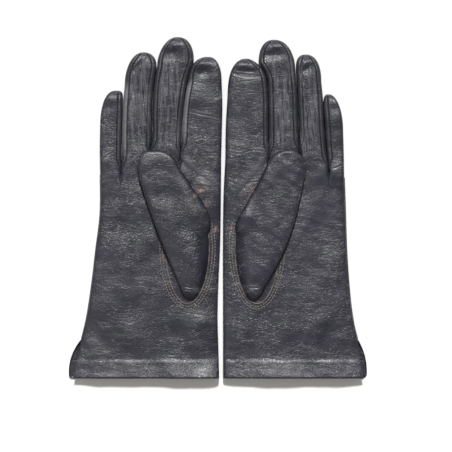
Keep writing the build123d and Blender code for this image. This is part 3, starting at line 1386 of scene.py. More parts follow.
@dataclass
class GloveMaker:
    """Builds and dresses one glove.

    The skived shares say how much of the leather's thickness is left where it is pared thin.
    """

    plan: GlovePlan
    sizes: FrameSizes
    finishes: Finishes
    palm_rows: int = 300
    hem_rows: int = 25
    hem_columns: int = 60
    thumb_rows: int = 190
    thumb_columns: int = 56
    cuff_clear: float = 0.05
    hem_clear: float = 0.08
    knuckle_bend: tuple[float, float] = (-5.0, 8.0)
    thumb_bend: tuple[float, float] = (7.8, 8.6)
    thumb_power: float = 3.2
    thumb_clear: float = 0.5
    skirt_low: float = 7.4
    web_power: float = 1.6
    skived_thumb: float = 0.6
    skived_strip: float = 0.8
    skived_hem: float = 0.85
    welt_radius: float = 0.42
    raw_radius: float = 0.34
    hole_rows: tuple[float, float] = (2.3, 4.3)
    hole_stitch: Stitch = Stitch(1.55, 2.2, 0.3)
    thumb_stitch: Stitch = Stitch(1.5, 2.3, 0.17)
    seam_stitch: Stitch = Stitch(1.3, 1.9, 0.15, 1.0)
    point_stitch: Stitch = Stitch(1.8, 2.6, 0.2)

    def __post_init__(self) -> None:
        """Sets out the fingers in their order from the thumb."""
        self.hand = self.plan.hand
        self.sheet = Sheet(self.sizes, self.plan)
        both = (Edge.INNER, Edge.OUTER)
        seamed = {"index": (Edge.OUTER,), "middle": both, "ring": both, "little": (Edge.INNER,)}
        self.makers: list[FingerMaker] = []
        for finger in self.plan.fingers:
            knuckle = self.sizes.little_knuckle if finger.name == "little" else self.sizes.knuckle
            self.makers.append(FingerMaker(finger, self.sheet, knuckle, seamed[finger.name]))

    def label(self, part: str) -> str:
        """The name of one of this glove's nodes or pieces."""
        return f"{self.hand.label}_{part}"

    # ---- dressing

    def dress(self, piece: bpy.types.Object, material: bpy.types.Material, slot: str, *nodes: str) -> None:
        """Gives a piece its material, and hides the frame nodes that it stands for.

        Args:
            piece: the finished piece.
            material: its material.
            slot: not used.
            nodes: the frame nodes that it replaces, without the hand.
        """
        piece.data.materials.clear()
        piece.data.materials.append(material)
        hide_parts(*(self.label(n) for n in nodes))
        LOG.info("%s: %d faces", piece.name, len(piece.data.polygons))

    def bend(self, piece: bpy.types.Object, maker: FingerMaker) -> None:
        """Bakes the transform of a finger's piece into its mesh."""
        self.label("hand")
        self.label(maker.plan.name)
        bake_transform(piece)

    # ---- hand

    def hand_grid(self, face: Face) -> Panel:
        """The palm or back panel, whose columns run on into the fingers.

        Args:
            face: palm or back.

        Returns:
            The panel, with the thumb hole open in the palm.
        """
        outs, fills, tops = [], [], []
        for maker in self.makers:
            p = maker.shares()
            start = maker.start_line(p)
            left = maker.plan.side(Edge.INNER, start)
            right = maker.plan.side(Edge.OUTER, start)
            keep = slice(0, None) if maker is self.makers[0] else slice(1, None)
            outs.append((left + p * (right - left))[keep])
            fills.append(crown(p, self.sheet.finger_power)[keep])
            tops.append(start[keep])
        top_out, finger_fill, top_up = (np.concatenate(x) for x in (outs, fills, tops))
        q = np.linspace(0, 1, self.palm_rows + 1)[:, None]
        up = self.sizes.cuff + (top_up[None, :] - self.sizes.cuff) * q
        inner, outer = self.sheet.sides(up, face)
        top_inner, top_outer = self.sheet.sides(top_up, face)
        share = (top_out - top_inner) / (top_outer - top_inner)
        share = np.clip(np.broadcast_to(share, up.shape), 0, 1)
        out = inner + share * (outer - inner)
        keep = None
        if face is Face.FRONT:
            out, up, keep = self.open_hole(out, up)
            inner, outer = self.sheet.sides(up, face)
            share = np.clip((out - inner) / (outer - inner), 0, 1)
        height, worn = self.hand_surface(out, up, share, face, finger_fill[None, :], top_up[None, :])
        name = self.label("palm_leather" if face is Face.FRONT else "back_leather")
        return Panel(name, np.stack([out, up, height], -1), worn, keep, self.plan.front)

    def hand_surface(
        self,
        out: np.ndarray,
        up: np.ndarray,
        share: np.ndarray,
        face: Face,
        finger_fill: np.ndarray | None = None,
        top_up: np.ndarray | None = None,
    ) -> tuple[np.ndarray, np.ndarray]:
        """The height and wear of the hand's surface at some places.

        Args:
            out: distances from the middle plane.
            up: distances towards the fingertips.
            share: shares of the width there.
            face: palm or back.
            finger_fill: how full each column's finger is at the crotch row, if the fingers are near.
            top_up: where each column's finger starts.

        Returns:
            Heights and wear.
        """
        fill = crown(share, self.sheet.hand_power)
        if finger_fill is not None:
            near = smooth((up - top_up + self.sheet.valley) / self.sheet.valley) ** 1.6
            fill = (1 - near) * fill + near * finger_fill
        relief = self.plan.front if face is Face.FRONT else self.plan.back
        rise, worn = relief.at(out, up)
        rise = rise + self.sheet.hem_step(up)
        gate = np.clip(2.2 * fill, 0, 1)
        height = self.sheet.hand_height(share, up, face, fill) + face.relief * rise * gate
        return np.maximum(height, FLOOR_GAP), worn

    def open_hole(self, out: np.ndarray, up: np.ndarray) -> tuple[np.ndarray, np.ndarray, np.ndarray]:
        """Draws the grid round the thumb hole and marks the cells inside it.

        Args:
            out: the grid's distances out.
            up: the grid's distances up.

        Returns:
            The moved grid, and which cells stay.
        """
        (cu, cv), (a, b) = self.sizes.hole_centre, self.sizes.hole_half
        block, reach = 0.86, 1.5
        middle_row = int(np.argmin(np.abs(up[:, 0] - cv)))
        k1 = int(np.argmin(np.abs(out[middle_row] - (cu - a * block))))
        k2 = int(np.argmin(np.abs(out[middle_row] - (cu + a * block))))
        j1 = int(np.argmin(np.abs(up[:, k1] - (cv - b * block))))
        j2 = int(np.argmin(np.abs(up[:, k1] - (cv + b * block))))
        left, right = out[:, k1 : k1 + 1], out[:, k2 : k2 + 1]
        low, high = up[j1 : j1 + 1, :], up[j2 : j2 + 1, :]
        x = (2 * out - left - right) / (right - left)
        y = (2 * up - low - high) / (high - low)
        square = np.maximum(np.abs(x), np.abs(y))
        round_ = np.maximum(np.hypot(x, y), 1e-9)
        pull = smooth((reach - square) / (reach - 1))
        across, along = x / round_, y / round_
        across = self.drawn_in(across, along)
        target_out = cu + a * across * square
        target_up = cv + b * along * square
        out = out + pull * (target_out - out)
        up = up + pull * (target_up - up)
        rows, columns = out.shape
        keep = np.ones((rows - 1, columns - 1), bool)
        keep[j1:j2, k1:k2] = False
        return out, up, keep

    def palm_height(self, out: np.ndarray, up: np.ndarray) -> np.ndarray:
        """The height of the palm away from the fingers.

        Args:
            out: distances from the middle plane.
            up: distances towards the fingertips.

        Returns:
            Heights above the floor.
        """
        inner, outer = self.sheet.sides(up, Face.FRONT)
        height, _ = self.hand_surface(out, up, (out - inner) / (outer - inner), Face.FRONT)
        return height

    def hem(self, face: Face) -> Panel:
        """The turned-in hem inside the cuff, one leather's thickness under the panel.

        Args:
            face: palm or back.

        Returns:
            The panel.
        """
        low, high = self.sizes.cuff + self.cuff_clear, self.sizes.cuff + self.sizes.hem
        rows = np.linspace(low, high, self.hem_rows + 1)
        columns = np.clip(clustered(self.hem_columns, 0.5), 0.012, 0.99)
        up, share = np.meshgrid(rows, columns, indexing="ij")
        inner, outer = self.sheet.sides(up, face)
        out = inner + share * (outer - inner)
        height, worn = self.hand_surface(out, up, share, face)
        height = height - face.value * (self.sizes.leather + self.hem_clear)
        name = self.label("cuff_hem_palm_leather" if face is Face.FRONT else "cuff_hem_back_leather")
        return Panel(name, np.stack([out, up, height], -1), worn)

    def drawn_in(self, across: np.ndarray, along: np.ndarray) -> np.ndarray:
        """Draws the hole's outline in beside the web, where across is negative and along positive."""
        web = (across < 0) & (along > 0)
        return np.where(web, -np.abs(across) ** self.web_power, across)

    def rim(self, across: np.ndarray, along: np.ndarray, grow: float) -> np.ndarray:
        """Places on the thumb hole's rim, which draws in beside the web of the thumb.

        Args:
            across: cosines of the angles round the hole.
            along: sines of the angles.
            grow: how far outside the rim the places lie.

        Returns:
            Flat places, out and up.
        """
        (cu, cv), (a, b) = self.sizes.hole_centre, self.sizes.hole_half
        across = self.drawn_in(across, along)
        return np.stack([cu + (a + grow) * across, cv + (b + grow) * along], -1)

    def oval(self, grow: float, count: int = 220) -> np.ndarray:
        """Points round the thumb hole, grown outwards, as (count, 2) places."""
        angle = np.linspace(0, 2 * np.pi, count, endpoint=False)
        return self.rim(np.cos(angle), np.sin(angle), grow)

    def stitched_arc(self, grow: float) -> np.ndarray:
        """The part of the oval that carries stitches: from the web, under the thumb and round the base."""
        start, end = -204, 112
        angle = np.linspace(np.radians(start), np.radians(end), 240)
        return self.rim(np.cos(angle), np.sin(angle), grow)

    def on_palm(self, flat: np.ndarray, rise: float) -> np.ndarray:
        """Lays flat points on the palm, a little above or below it."""
        return np.stack([flat[:, 0], flat[:, 1], self.palm_height(flat[:, 0], flat[:, 1]) + rise], -1)

    # ---- thumb

    def thumb_half(self, up: np.ndarray) -> np.ndarray:
        """Half the thumb's thickness at some heights along it.

        Args:
            up: distances towards the fingertips.

        Returns:
            Half thicknesses.
        """
        full = (self.sizes.thumb_top - self.thumb_floor(up)) / 2 - 0.25
        base, tip = self.plan.thumb.base[1], self.plan.thumb.tip[1]
        low = [(base, 0.5), (base + 18, 0.8), (base + 50, 1.0)]
        high = [(tip - 25, 0.99), (tip - 6, 0.98), (tip, 0.94)]
        return full * through(low + high)(up)

    def thumb_floor(self, up: np.ndarray) -> np.ndarray:
        """The height of the thumb's underside, just clear of the palm."""
        return 2 * self.sheet.half_depth(up) + self.thumb_clear

    def thumb_fill(self, up: np.ndarray) -> np.ndarray:
        """How far the thumb's section has closed at its two ends.

        Args:
            up: distances towards the fingertips.

        Returns:
            1 along the thumb and 0 at both ends.
        """
        base, tip = self.plan.thumb.base[1], self.plan.thumb.tip[1]
        tip_run, base_run = 3.2, 9.0
        top = np.clip((up - tip + tip_run) / tip_run, 0, 1)
        low = np.clip((base + base_run - up) / base_run, 0, 1)
        return (1 - top**2.2) ** (1 / 2.2) * (1 - low**2.0) ** (1 / 2.0)

    def tuck(self, up: np.ndarray) -> np.ndarray:
        """How far the thumb's inner edge dives under the edge of the hole, from 0 to 1."""
        return smooth((-12.0 - up) / 10.0)

    def thumb_upper(self) -> Panel:
        """The thumb's upper panel.

        Returns:
            The panel, from the base to the tip.
        """
        plan = self.plan.thumb
        clear, sunk = 0.35, 0.5
        tucked_share, base_run = 0.42, 12.0
        q = clustered(self.thumb_rows, 0.55)[:, None]
        p = clustered(self.thumb_columns, 0.8)[None, :]
        up = plan.base[1] + (plan.tip[1] - plan.base[1]) * q + 0 * p
        left, right = plan.side(Edge.INNER, up), plan.side(Edge.OUTER, up)
        (cu, cv), (a, b) = self.sizes.hole_centre, self.sizes.hole_half
        along = np.clip((up - cv) / (b - clear), -1, 1)
        rim = cu - (a - clear) * np.sqrt(1 - along**2)
        tuck = self.tuck(up)
        left = left + tuck * (np.minimum(rim, right - 0.05) - left)
        out = left + p * (right - left)
        share = np.broadcast_to(p, up.shape)
        fill = crown(share, self.thumb_power)
        half = self.thumb_half(up)
        ends = self.thumb_fill(up)
        rise, worn = self.plan.thumb_front.at(out, up)
        middle = self.thumb_middle(up)
        gate = np.clip(2 * fill * ends, 0, 1)
        height = middle + half * ends * fill
        edge = self.palm_height(np.clip(out, cu - a - 1.5, None), up) - sunk
        soft = np.clip(share / tucked_share, 0, 1)
        dive = np.sqrt(1 - (1 - soft) ** 2)
        height = height + tuck * (1 - dive) * (edge - height)
        near_base = smooth((plan.base[1] + base_run - up) / base_run)
        height = height + tuck * (1 - ends) * near_base * (edge - height)
        height = height + rise * gate
        places = np.stack([out, up, height], -1)
        return Panel(self.label("thumb_front_leather"), places, worn, None, self.plan.thumb_front)

    def thumb_middle(self, up: np.ndarray) -> np.ndarray:
        """The height of the thumb's side edge; its ends come down to the palm."""
        half = self.thumb_half(up)
        return self.thumb_floor(up) + half * (0.3 + 0.7 * self.thumb_fill(up))

    def thumb_lower(self, upper: Panel) -> Panel:
        """The thumb's lower panel and the skirt that joins it to the hole, as rings from its edge inwards.

        Args:
            upper: the thumb's upper panel, whose edge is the first ring.

        Returns:
            The panel, with a ring in each row.
        """
        side_rings, skirt_rings, hem_rings = 18, 12, 4
        side_run, side_power, sunk = 5.0, 2.6, 0.75
        left = upper.places[:, 0]
        right = upper.places[::-1, -1]
        ring = np.concatenate([left, right[1:-1]])
        (cu, cv), (a, b) = self.sizes.mouth_centre, self.sizes.mouth_half
        angle = np.arctan2((ring[:, 1] - cv) / b, (ring[:, 0] - cu) / a)
        mouth = np.stack([cu + a * np.cos(angle), cv + b * np.sin(angle)], -1)
        hole = self.rim(np.cos(angle), np.sin(angle), -0.25)
        hem = self.rim(np.cos(angle), np.sin(angle), 3.4)
        rows = [ring]
        away = np.linalg.norm(ring[:, :2] - mouth, axis=1)
        bottom = self.thumb_floor(ring[:, 1])
        for share in 1 - (1 - np.linspace(0, 1, side_rings + 1)[1:]) ** 1.7:
            flat = ring[:, :2] + (mouth - ring[:, :2]) * share
            inside = np.clip(away * share / side_run, 0, 1)
            drop = (1 - (1 - inside) ** side_power) ** (1 / side_power)
            rows.append(np.column_stack([flat, ring[:, 2] + (bottom - ring[:, 2]) * drop]))
        edge = self.palm_height(hole[:, 0], hole[:, 1]) - sunk
        for share in np.linspace(0, 1, skirt_rings + 1)[1:]:
            flat = mouth + (hole - mouth) * share
            rows.append(np.column_stack([flat, bottom + (edge - bottom) * smooth(share)]))
        for share in np.linspace(0, 1, hem_rings + 1)[1:]:
            flat = hole + (hem - hole) * share
            rows.append(np.column_stack([flat, edge + (self.skirt_low - edge) * smooth(share)]))
        places = np.stack(rows)
        places = np.concatenate([places, places[:, :1]], axis=1)
        return Panel(self.label("thumb_back_leather"), places, np.zeros(places.shape[:2]))

    # ---- the whole glove

    def build(self) -> None:
        """Builds every piece of the glove, from the hand to the thread."""
        self.build_skin()
        self.build_fourchettes()
        self.build_thumb()
        self.build_hems()
        self.build_hole_edge()
        self.build_seam_threads()
        self.build_forks()
        self.build_points()

    def build_skin(self) -> None:
        """The trank: palm, back and the fingers' fronts and backs, which share their edges."""
        palm = self.hand_grid(Face.FRONT).build(self.hand, True)
        back = self.hand_grid(Face.BACK).build(self.hand, False)
        fronts, backs = [], []
        for maker in self.makers:
            front = maker.panel(self.label(f"{maker.plan.name}_front_leather"), Face.FRONT)
            fronts.append(front.build(self.hand, True))
        for maker in self.makers:
            rear = maker.panel(self.label(f"{maker.plan.name}_back_leather"), Face.BACK)
            backs.append(rear.build(self.hand, False))
        normals = shared_normals([palm, back, *fronts, *backs])
        for piece in (palm, back, *fronts, *backs):
            thicken(piece, self.sizes.leather, normals)
        self.dress(palm, self.finishes.grain, "leather", "palm")
        self.dress(back, self.finishes.grain, "leather", "back")
        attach(palm, self.label("hand"))
        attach(back, self.label("hand"))
        for maker, front, rear in zip(self.makers, fronts, backs):
            self.dress(front, self.finishes.grain, "leather", f"{maker.plan.name}_front")
            self.dress(rear, self.finishes.grain, "leather", f"{maker.plan.name}_back")
            self.bend(front, maker)
            self.bend(rear, maker)

    def build_fourchettes(self) -> None:
        """The strips along the fingers' sides, each from its crotch to the tip."""
        for maker in self.makers:
            for edge in maker.seamed:
                word = "inner" if edge is Edge.INNER else "outer"
                name = f"{maker.plan.name}_{word}_fourchette"
                strip = maker.strip(self.label(name + "_leather"), edge).build(self.hand, edge is Edge.OUTER)
                thicken(strip, self.sizes.leather * self.skived_strip)
                self.dress(strip, self.finishes.strip, "leather", name)
                self.bend(strip, maker)

    def build_thumb(self) -> None:
        """The thumb's two panels, its closing seam, and its root under the hole's edge."""
        upper = self.thumb_upper()
        lower = self.thumb_lower(upper)
        top = upper.build(self.hand, True)
        under = lower.build(self.hand, False)
        normals = shared_normals([top, under])
        thicken(top, self.sizes.leather, normals)
        thicken(under, self.sizes.leather * self.skived_thumb, normals)
        self.dress(top, self.finishes.grain, "leather", "thumb_front")
        self.dress(under, self.finishes.grain, "leather", "thumb_back")
        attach(top, self.label("thumb"))
        self.label("hand")
        self.label("thumb")
        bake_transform(under)
        from_base, from_tip, from_edge, proud = 30, 12, 3, 0.05
        line = upper.places[from_base:-from_tip, -from_edge] + np.array([0, 0, proud])
        seam = stitches(self.label("thumb_seam_thread"), line, self.hand, self.thumb_stitch)
        self.dress(seam, self.finishes.dark_thread, "thread", "thumb_seam")
        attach(seam, self.label("thumb"))

    def build_hems(self) -> None:
        """The turned-in hems and the closed outer edge."""
        for face, node in ((Face.FRONT, "cuff_hem_palm"), (Face.BACK, "cuff_hem_back")):
            hem = self.hem(face).build(self.hand, face is Face.FRONT)
            thicken(hem, self.sizes.leather * self.skived_hem)
            self.dress(hem, self.finishes.grain, "leather", node)
            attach(hem, self.label("hand"))
        up = np.linspace(self.sizes.vent_top, self.makers[-1].plan.crotch(Edge.OUTER), 150)
        out = self.sheet.sides(up, Face.FRONT)[1]
        line = np.stack([out, up, self.sheet.half_depth(up)], -1)
        welt = tube(self.label("side_seam_leather"), line, self.welt_radius, self.hand, False)
        self.dress(welt, self.finishes.grain, "leather", "side_seam")
        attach(welt, self.label("hand"))

    def build_hole_edge(self) -> None:
        """The raw edge of the thumb hole, and the two rows of stitches round it."""
        outside, sunk, proud = 0.1, 0.08, 0.1
        line = self.on_palm(self.oval(outside), -sunk)
        rim = tube(self.label("thumb_hole_edge"), line, self.raw_radius, self.hand, True)
        self.dress(rim, self.finishes.raw, "leather", "thumb_root")
        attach(rim, self.label("hand"))
        rows = []
        for number, grow in enumerate(self.hole_rows):
            line = self.on_palm(self.stitched_arc(grow), proud)
            rows.append(stitches(self.label(f"hole_row_{number}"), line, self.hand, self.hole_stitch))
        thread = joined(self.label("thumb_hole_thread"), rows)
        self.dress(thread, self.finishes.tan_thread, "thread", "thumb_hole_stitching")
        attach(thread, self.label("hand"))

    def build_seam_threads(self) -> None:
        """The stitches along the fingers' seams."""
        for maker in self.makers:
            rows = [
                stitches(self.label("seam_row"), maker.seam_line(edge, face), self.hand, self.seam_stitch)
                for edge in maker.seamed
                for face in Face
            ]
            thread = joined(self.label(f"{maker.plan.name}_seam_thread"), rows)
            self.dress(thread, self.finishes.dark_thread, "thread", f"{maker.plan.name}_seams")
            self.bend(thread, maker)

    def build_forks(self) -> None:
        """The forks where the fourchettes turn round the three crotches."""
        reach, drop, radius = 8, 0.6, 0.22
        forks = []
        for left, right in zip(self.makers[:-1], self.makers[1:]):
            up, out = left.plan.outer[0]
            down = left.seam_line(Edge.OUTER, Face.FRONT)[:reach][::-1]
            foot = np.array([[out, up - drop, down[-1][2] - drop]])
            rise = right.seam_line(Edge.INNER, Face.FRONT)[:reach]
            line = np.concatenate([down, foot, rise])
            forks.append(tube(self.label("fork"), line, radius, self.hand, False))
        fork = joined(self.label("fourchette_root_leather"), forks)
        self.dress(fork, self.finishes.strip, "leather", "fourchette_roots")
        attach(fork, self.label("hand"))

    def build_points(self) -> None:
        """The three decorative rows on the back, which draw together towards the cuff."""
        below_knuckle, length, middle = 20.0, 72.0, 40.3
        spread, drawn_in, proud = 15.0, 4.0, 0.02
        points = []
        top = self.sizes.knuckle - below_knuckle
        for number in (-1, 0, 1):
            up = np.linspace(top, top - length, 60)
            out = middle + number * (spread - drawn_in * (top - up) / length)
            inner, outer = self.sheet.sides(up, Face.BACK)
            height, _ = self.hand_surface(out, up, (out - inner) / (outer - inner), Face.BACK)
            line = np.stack([out, up, height - proud], -1)
            points.append(stitches(self.label("point"), line, self.hand, self.point_stitch))
        rows = joined(self.label("back_point_thread"), points)
        self.dress(rows, self.finishes.dark_thread, "thread", "back_points")
        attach(rows, self.label("hand"))


# ---------------------------------------------------------------- the two gloves


def right_plan() -> GlovePlan:
    """The right-hand glove's outline and creases.

    Returns:
        The plan.
    """
    fingers = (
        FingerPlan(
            "index",
            [(37.0, 0.7), (56.0, 0.2), (78.0, -0.2), (92.0, 0.3)],
            [(36.8, 31.0), (49.0, 29.6), (67.0, 28.6), (84.0, 26.6), (92.0, 25.0)],
            (10.6, 110.7), outer_power=2.1, pale=2.0,
        ),
        FingerPlan(
            "middle",
            [(36.8, 31.0), (49.0, 30.1), (67.0, 29.1), (84.0, 27.1), (96.0, 24.8), (104.0, 22.0),
             (108.0, 20.9)],
            [(38.6, 54.0), (50.0, 51.3), (67.0, 51.1), (90.0, 49.9), (104.0, 47.5)],
            (33.4, 125.2), outer_power=1.85,
        ),
        FingerPlan(
            "ring",
            [(38.6, 54.0), (50.0, 51.8), (67.0, 51.6), (90.0, 50.4), (103.0, 48.2)],
            [(26.5, 74.2), (40.0, 73.3), (57.0, 73.2), (77.0, 72.5), (90.0, 71.4)],
            (58.2, 114.0), outer_power=1.95, pale=1.8,
        ),
        FingerPlan(
            "little",
            [(26.5, 74.2), (40.0, 73.9), (57.0, 73.7), (80.5, 72.9)],
            [(24.0, 89.5), (42.0, 89.9), (58.0, 89.7)],
            (77.9, 85.9), inner_power=2.9,
        ),
    )
    thumb = ThumbPlan(
        [(-52.0, 11.6), (-40.0, 10.6), (-27.6, 9.9), (-14.0, 8.6), (-4.4, 10.6), (7.2, 17.0), (13.6, 21.6),
         (24.5, 28.7), (31.0, 33.2)],
        [(-58.0, 30.6), (-34.3, 40.7), (-15.8, 48.0), (9.2, 56.8), (20.0, 60.2), (29.9, 61.6)],
        (24.8, -68.4), (50.0, 42.4), inner_power=1.7, outer_power=2.3,
    )
    front = Relief(
        7,
        [
            CreaseZone((56, 98), (-95, 5), 70, (5, 16), 4, 10),
            CreaseZone((40, 62), (-62, -5), 55, (3, 9), 10, 14),
            CreaseZone((4, 40), (-112, -72), 30, (8, 22), 3, 8),
            CreaseZone((30, 100), (-112, -92), 26, (9, 26), 2, 7),
            CreaseZone((2, 26), (12, 44), 34, (4, 13), 6, 12, 0.2),
            CreaseZone((2, 24), (44, 92), 22, (4, 12), 12, 16, 0.14),
            CreaseZone((76, 88), (-5, 60), 34, (3, 8), -8, 22),
            CreaseZone((54, 72), (26, 52), 26, (2, 6), 35, 30),
            CreaseZone((33, 48), (46, 108), 30, (8, 26), 88, 5, 0.26, 0.6),
            CreaseZone((55, 69), (46, 100), 30, (8, 26), 86, 5, 0.26, 0.6),
            CreaseZone((36, 44), (104, 122), 8, (4, 9), 20, 40, 0.18),
        ],
        [
            Dent(37, 112.5, 6, 3.4, 2.3, -18),
            Dent(35, 119.0, 5, 2.6, -0.9),
            Dent(62, 103.5, 7, 1.5, 0.9, -52),
            Dent(57, 96, 4, 7, 0.5),
            Dent(16, 58, 7, 13, 0.8, 20),
            Dent(13, 99, 7, 3.4, 1.3, -10),
            Dent(13, 105.5, 5, 2.2, -0.7),
            Dent(82, 74, 5, 4, 0.7, 25),
            Dent(70, -20, 10, 16, 0.5),
            Dent(20, 20, 3, 11, 0.55, 35),
            Dent(9, -127, 34, 9.5, -2.1),
            Dent(20, -86, 17, 5, -0.6),
            Dent(86, -98, 15, 8, 0.9, 20),
            Dent(84, -76, 9, 4.5, -0.6, -14),
        ],
        scuffs=[
            Dent(15.5, 12.5, 4.2, 2.8, 0.9, -35),
            Dent(11.5, 3.5, 1.4, 6.0, 0.6, 32),
            Dent(5.2, -16.0, 2.4, 2.6, 0.8),
        ],
    )
    for crease in (
        (21.0, 26.5, 40, 38, 0.5, 2.2),
        (9.0, 15.5, 15, 2, 0.4, 0.8),
        (14.5, 68.0, 22, 12, 0.3, 0.7),
        (9.0, 71.5, 14, -4, 0.2, 0.6),
        (61.5, 104.5, 11, -52, 0.5, 0.8),
        (56.5, 82.0, 44, 84, 0.4, 0.8),
        (60.5, 80.0, 40, 92, 0.28, 0.7),
        (45.8, 84.0, 46, 93, 0.35, 0.8),
        (38.5, 86.0, 34, 86, 0.24, 0.7),
        (84.0, 38.0, 13, -32, 0.3, 0.7),
        (15.0, -78.5, 15, 10, 0.3, 0.8),
        (86.0, -1.0, 9, 0, 0.3, 0.7),
        (85.0, 21.0, 10, -3, 0.3, 0.7),
    ):
        front.crease(*crease)
    return GlovePlan(
        Hand.RIGHT, fingers, thumb,
        [(-125.4, 2.1), (-100.0, 2.8), (-79.0, 3.3), (-53.0, 2.6), (-28.0, 1.5), (0.0, 1.0), (37.0, 0.7)],
        [(-96.4, 103.3), (-85.7, 100.6), (-60.7, 96.4), (-31.0, 92.8), (-4.0, 89.6), (10.0, 89.3),
         (24.0, 89.5)],
        109.0, 112.8, 0.6, front, back_relief(11),
        Relief(
            17,
            [
                CreaseZone((14, 44), (-30, 12), 32, (3, 10), -12, 14, 0.12),
                CreaseZone((36, 60), (10, 38), 16, (3, 9), 6, 20, 0.12),
                CreaseZone((14, 26), (-66, -58), 9, (4, 9), 15, 14, 0.4, 0.7),
            ],
            [
                Dent(19.5, -8, 4.5, 6, -0.7, -20),
                Dent(13.5, -22, 3.0, 9, 0.8),
                Dent(27, -12, 6, 8, 0.5),
                Dent(27, -40, 9, 16, 0.6),
                Dent(47, 27, 8, 6, 0.4),
            ],
            0.55,
            [Dent(18.6, 10.5, 1.3, 8.0, 0.8, 38), Dent(12.3, -2.0, 1.2, 8.0, 0.5, 32)],
        ),
    )


def left_plan() -> GlovePlan:
    """The left-hand glove's outline and creases.

    Returns:
        The plan.
    """
    fingers = (
        FingerPlan(
            "index",
            [(37.0, 2.3), (62.0, 2.7), (84.0, 4.0)],
            [(36.4, 34.2), (50.0, 34.0), (67.0, 33.85), (84.0, 33.6), (93.0, 32.6)],
            (18.2, 109.4), outer_power=1.6,
        ),
        FingerPlan(
            "middle",
            [(36.4, 34.2), (50.0, 34.3), (67.0, 34.15), (84.0, 33.9), (95.0, 33.1), (101.0, 30.6),
             (106.5, 26.8)],
            [(40.0, 56.5), (60.0, 55.8), (85.0, 54.8), (100.0, 53.5)],
            (38.1, 123.2), outer_power=2.1,
        ),
        FingerPlan(
            "ring",
            [(40.0, 56.5), (60.0, 56.3), (85.0, 55.3), (103.0, 54.2)],
            [(27.6, 78.2), (45.0, 76.0), (60.0, 74.8), (83.5, 73.5), (92.0, 72.6)],
            (60.9, 112.4),
        ),
        FingerPlan(
            "little",
            [(27.6, 78.2), (45.0, 76.5), (60.0, 75.4), (74.0, 74.3)],
            [(22.0, 89.6), (43.0, 89.2), (56.0, 88.8)],
            (78.0, 83.2), inner_power=2.9, outer_power=2.0,
        ),
    )
    thumb = ThumbPlan(
        [(-54.0, 11.6), (-40.3, 8.6), (-26.5, 8.4), (-12.7, 10.2), (3.0, 18.3), (14.9, 25.0), (24.5, 29.9),
         (31.0, 32.8)],
        [(-58.0, 30.8), (-36.4, 42.9), (-19.6, 49.9), (-6.8, 53.8), (12.9, 58.2), (25.0, 60.8)],
        (22.6, -69.0), (49.6, 42.6), inner_power=1.65, outer_power=1.95,
    )
    front = Relief(
        23,
        [
            CreaseZone((56, 96), (-95, 8), 66, (5, 16), -4, 10),
            CreaseZone((44, 64), (-60, 0), 45, (3, 10), -8, 14),
            CreaseZone((4, 44), (-112, -74), 26, (8, 22), -3, 8),
            CreaseZone((30, 96), (-112, -92), 22, (9, 26), -2, 7),
            CreaseZone((3, 28), (10, 44), 30, (4, 13), -6, 12, 0.2),
            CreaseZone((5, 27), (44, 92), 20, (4, 12), -10, 16, 0.14),
            CreaseZone((78, 88), (-5, 60), 30, (3, 8), 8, 22),
            CreaseZone((36, 52), (46, 106), 30, (8, 26), 91, 5, 0.26, 0.6),
            CreaseZone((58, 70), (46, 98), 28, (8, 24), 93, 5, 0.26, 0.6),
        ],
        [
            Dent(18, 99, 12, 3.6, 1.6, -4),
            Dent(17, 104.5, 7, 2.5, -0.4),
            Dent(39, 112, 8, 3.2, 1.5, 8),
            Dent(39, 118, 5, 2.2, -0.7),
            Dent(62, 101, 6, 2.6, 1.2, 30),
            Dent(62, 107, 4, 2.0, -0.6),
            Dent(82, 72, 5, 4, 0.6, -20),
            Dent(17, 62, 7, 14, 0.7, -15),
            Dent(72, -25, 10, 16, 0.5),
            Dent(40, -127, 44, 9.5, -1.0),
            Dent(72, -84, 20, 9, -0.9, 14),
            Dent(52, -60, 12, 8, 0.7, 20),
            Dent(66, 20, 13, 5, -0.8, 32),
        ],
        scuffs=[Dent(20.5, 12.0, 2.6, 4.5, 0.5, -40), Dent(6.0, -15.0, 2.2, 2.2, 0.5)],
    )
    for crease in (
        (24.5, 24.0, 34, 50, 0.5, 2.2),
        (12.0, 16.5, 18, -22, 0.4, 0.8),
        (18.0, 97.0, 20, -5, 0.5, 0.8),
        (17.0, 92.5, 16, 4, 0.22, 0.6),
        (47.0, 80.0, 44, 91, 0.32, 0.8),
        (41.5, 84.0, 36, 88, 0.24, 0.7),
        (66.0, 78.0, 38, 94, 0.3, 0.8),
        (85.0, 30.0, 11, 20, 0.3, 0.7),
        (84.0, -12.0, 11, -4, 0.3, 0.7),
    ):
        front.crease(*crease)
    return GlovePlan(
        Hand.LEFT, fingers, thumb,
        [(-125.4, 0.6), (-80.0, 0.6), (-20.0, 0.6), (10.0, 1.0), (37.0, 2.3)],
        [(-96.4, 99.4), (-89.0, 97.4), (-75.0, 95.0), (-60.0, 93.4), (-31.0, 91.4), (0.0, 90.4),
         (22.0, 89.6)],
        103.5, 106.4, 2.2, front, back_relief(29),
        Relief(
            31,
            [
                CreaseZone((14, 46), (-30, 12), 30, (3, 10), 12, 14, 0.12),
                CreaseZone((36, 60), (10, 38), 14, (3, 9), -6, 20, 0.12),
                CreaseZone((12, 26), (-66, -56), 8, (4, 9), -12, 14, 0.35, 0.7),
            ],
            [
                Dent(18, -6, 5, 7, -0.6, 20),
                Dent(12.5, -24, 3.0, 9, 0.7),
                Dent(30, -36, 9, 16, 0.6),
                Dent(46, 24, 8, 6, 0.4),
            ],
            0.55,
            [Dent(19.5, 6.5, 1.2, 6.0, 0.5, -38)],
        ),
    )


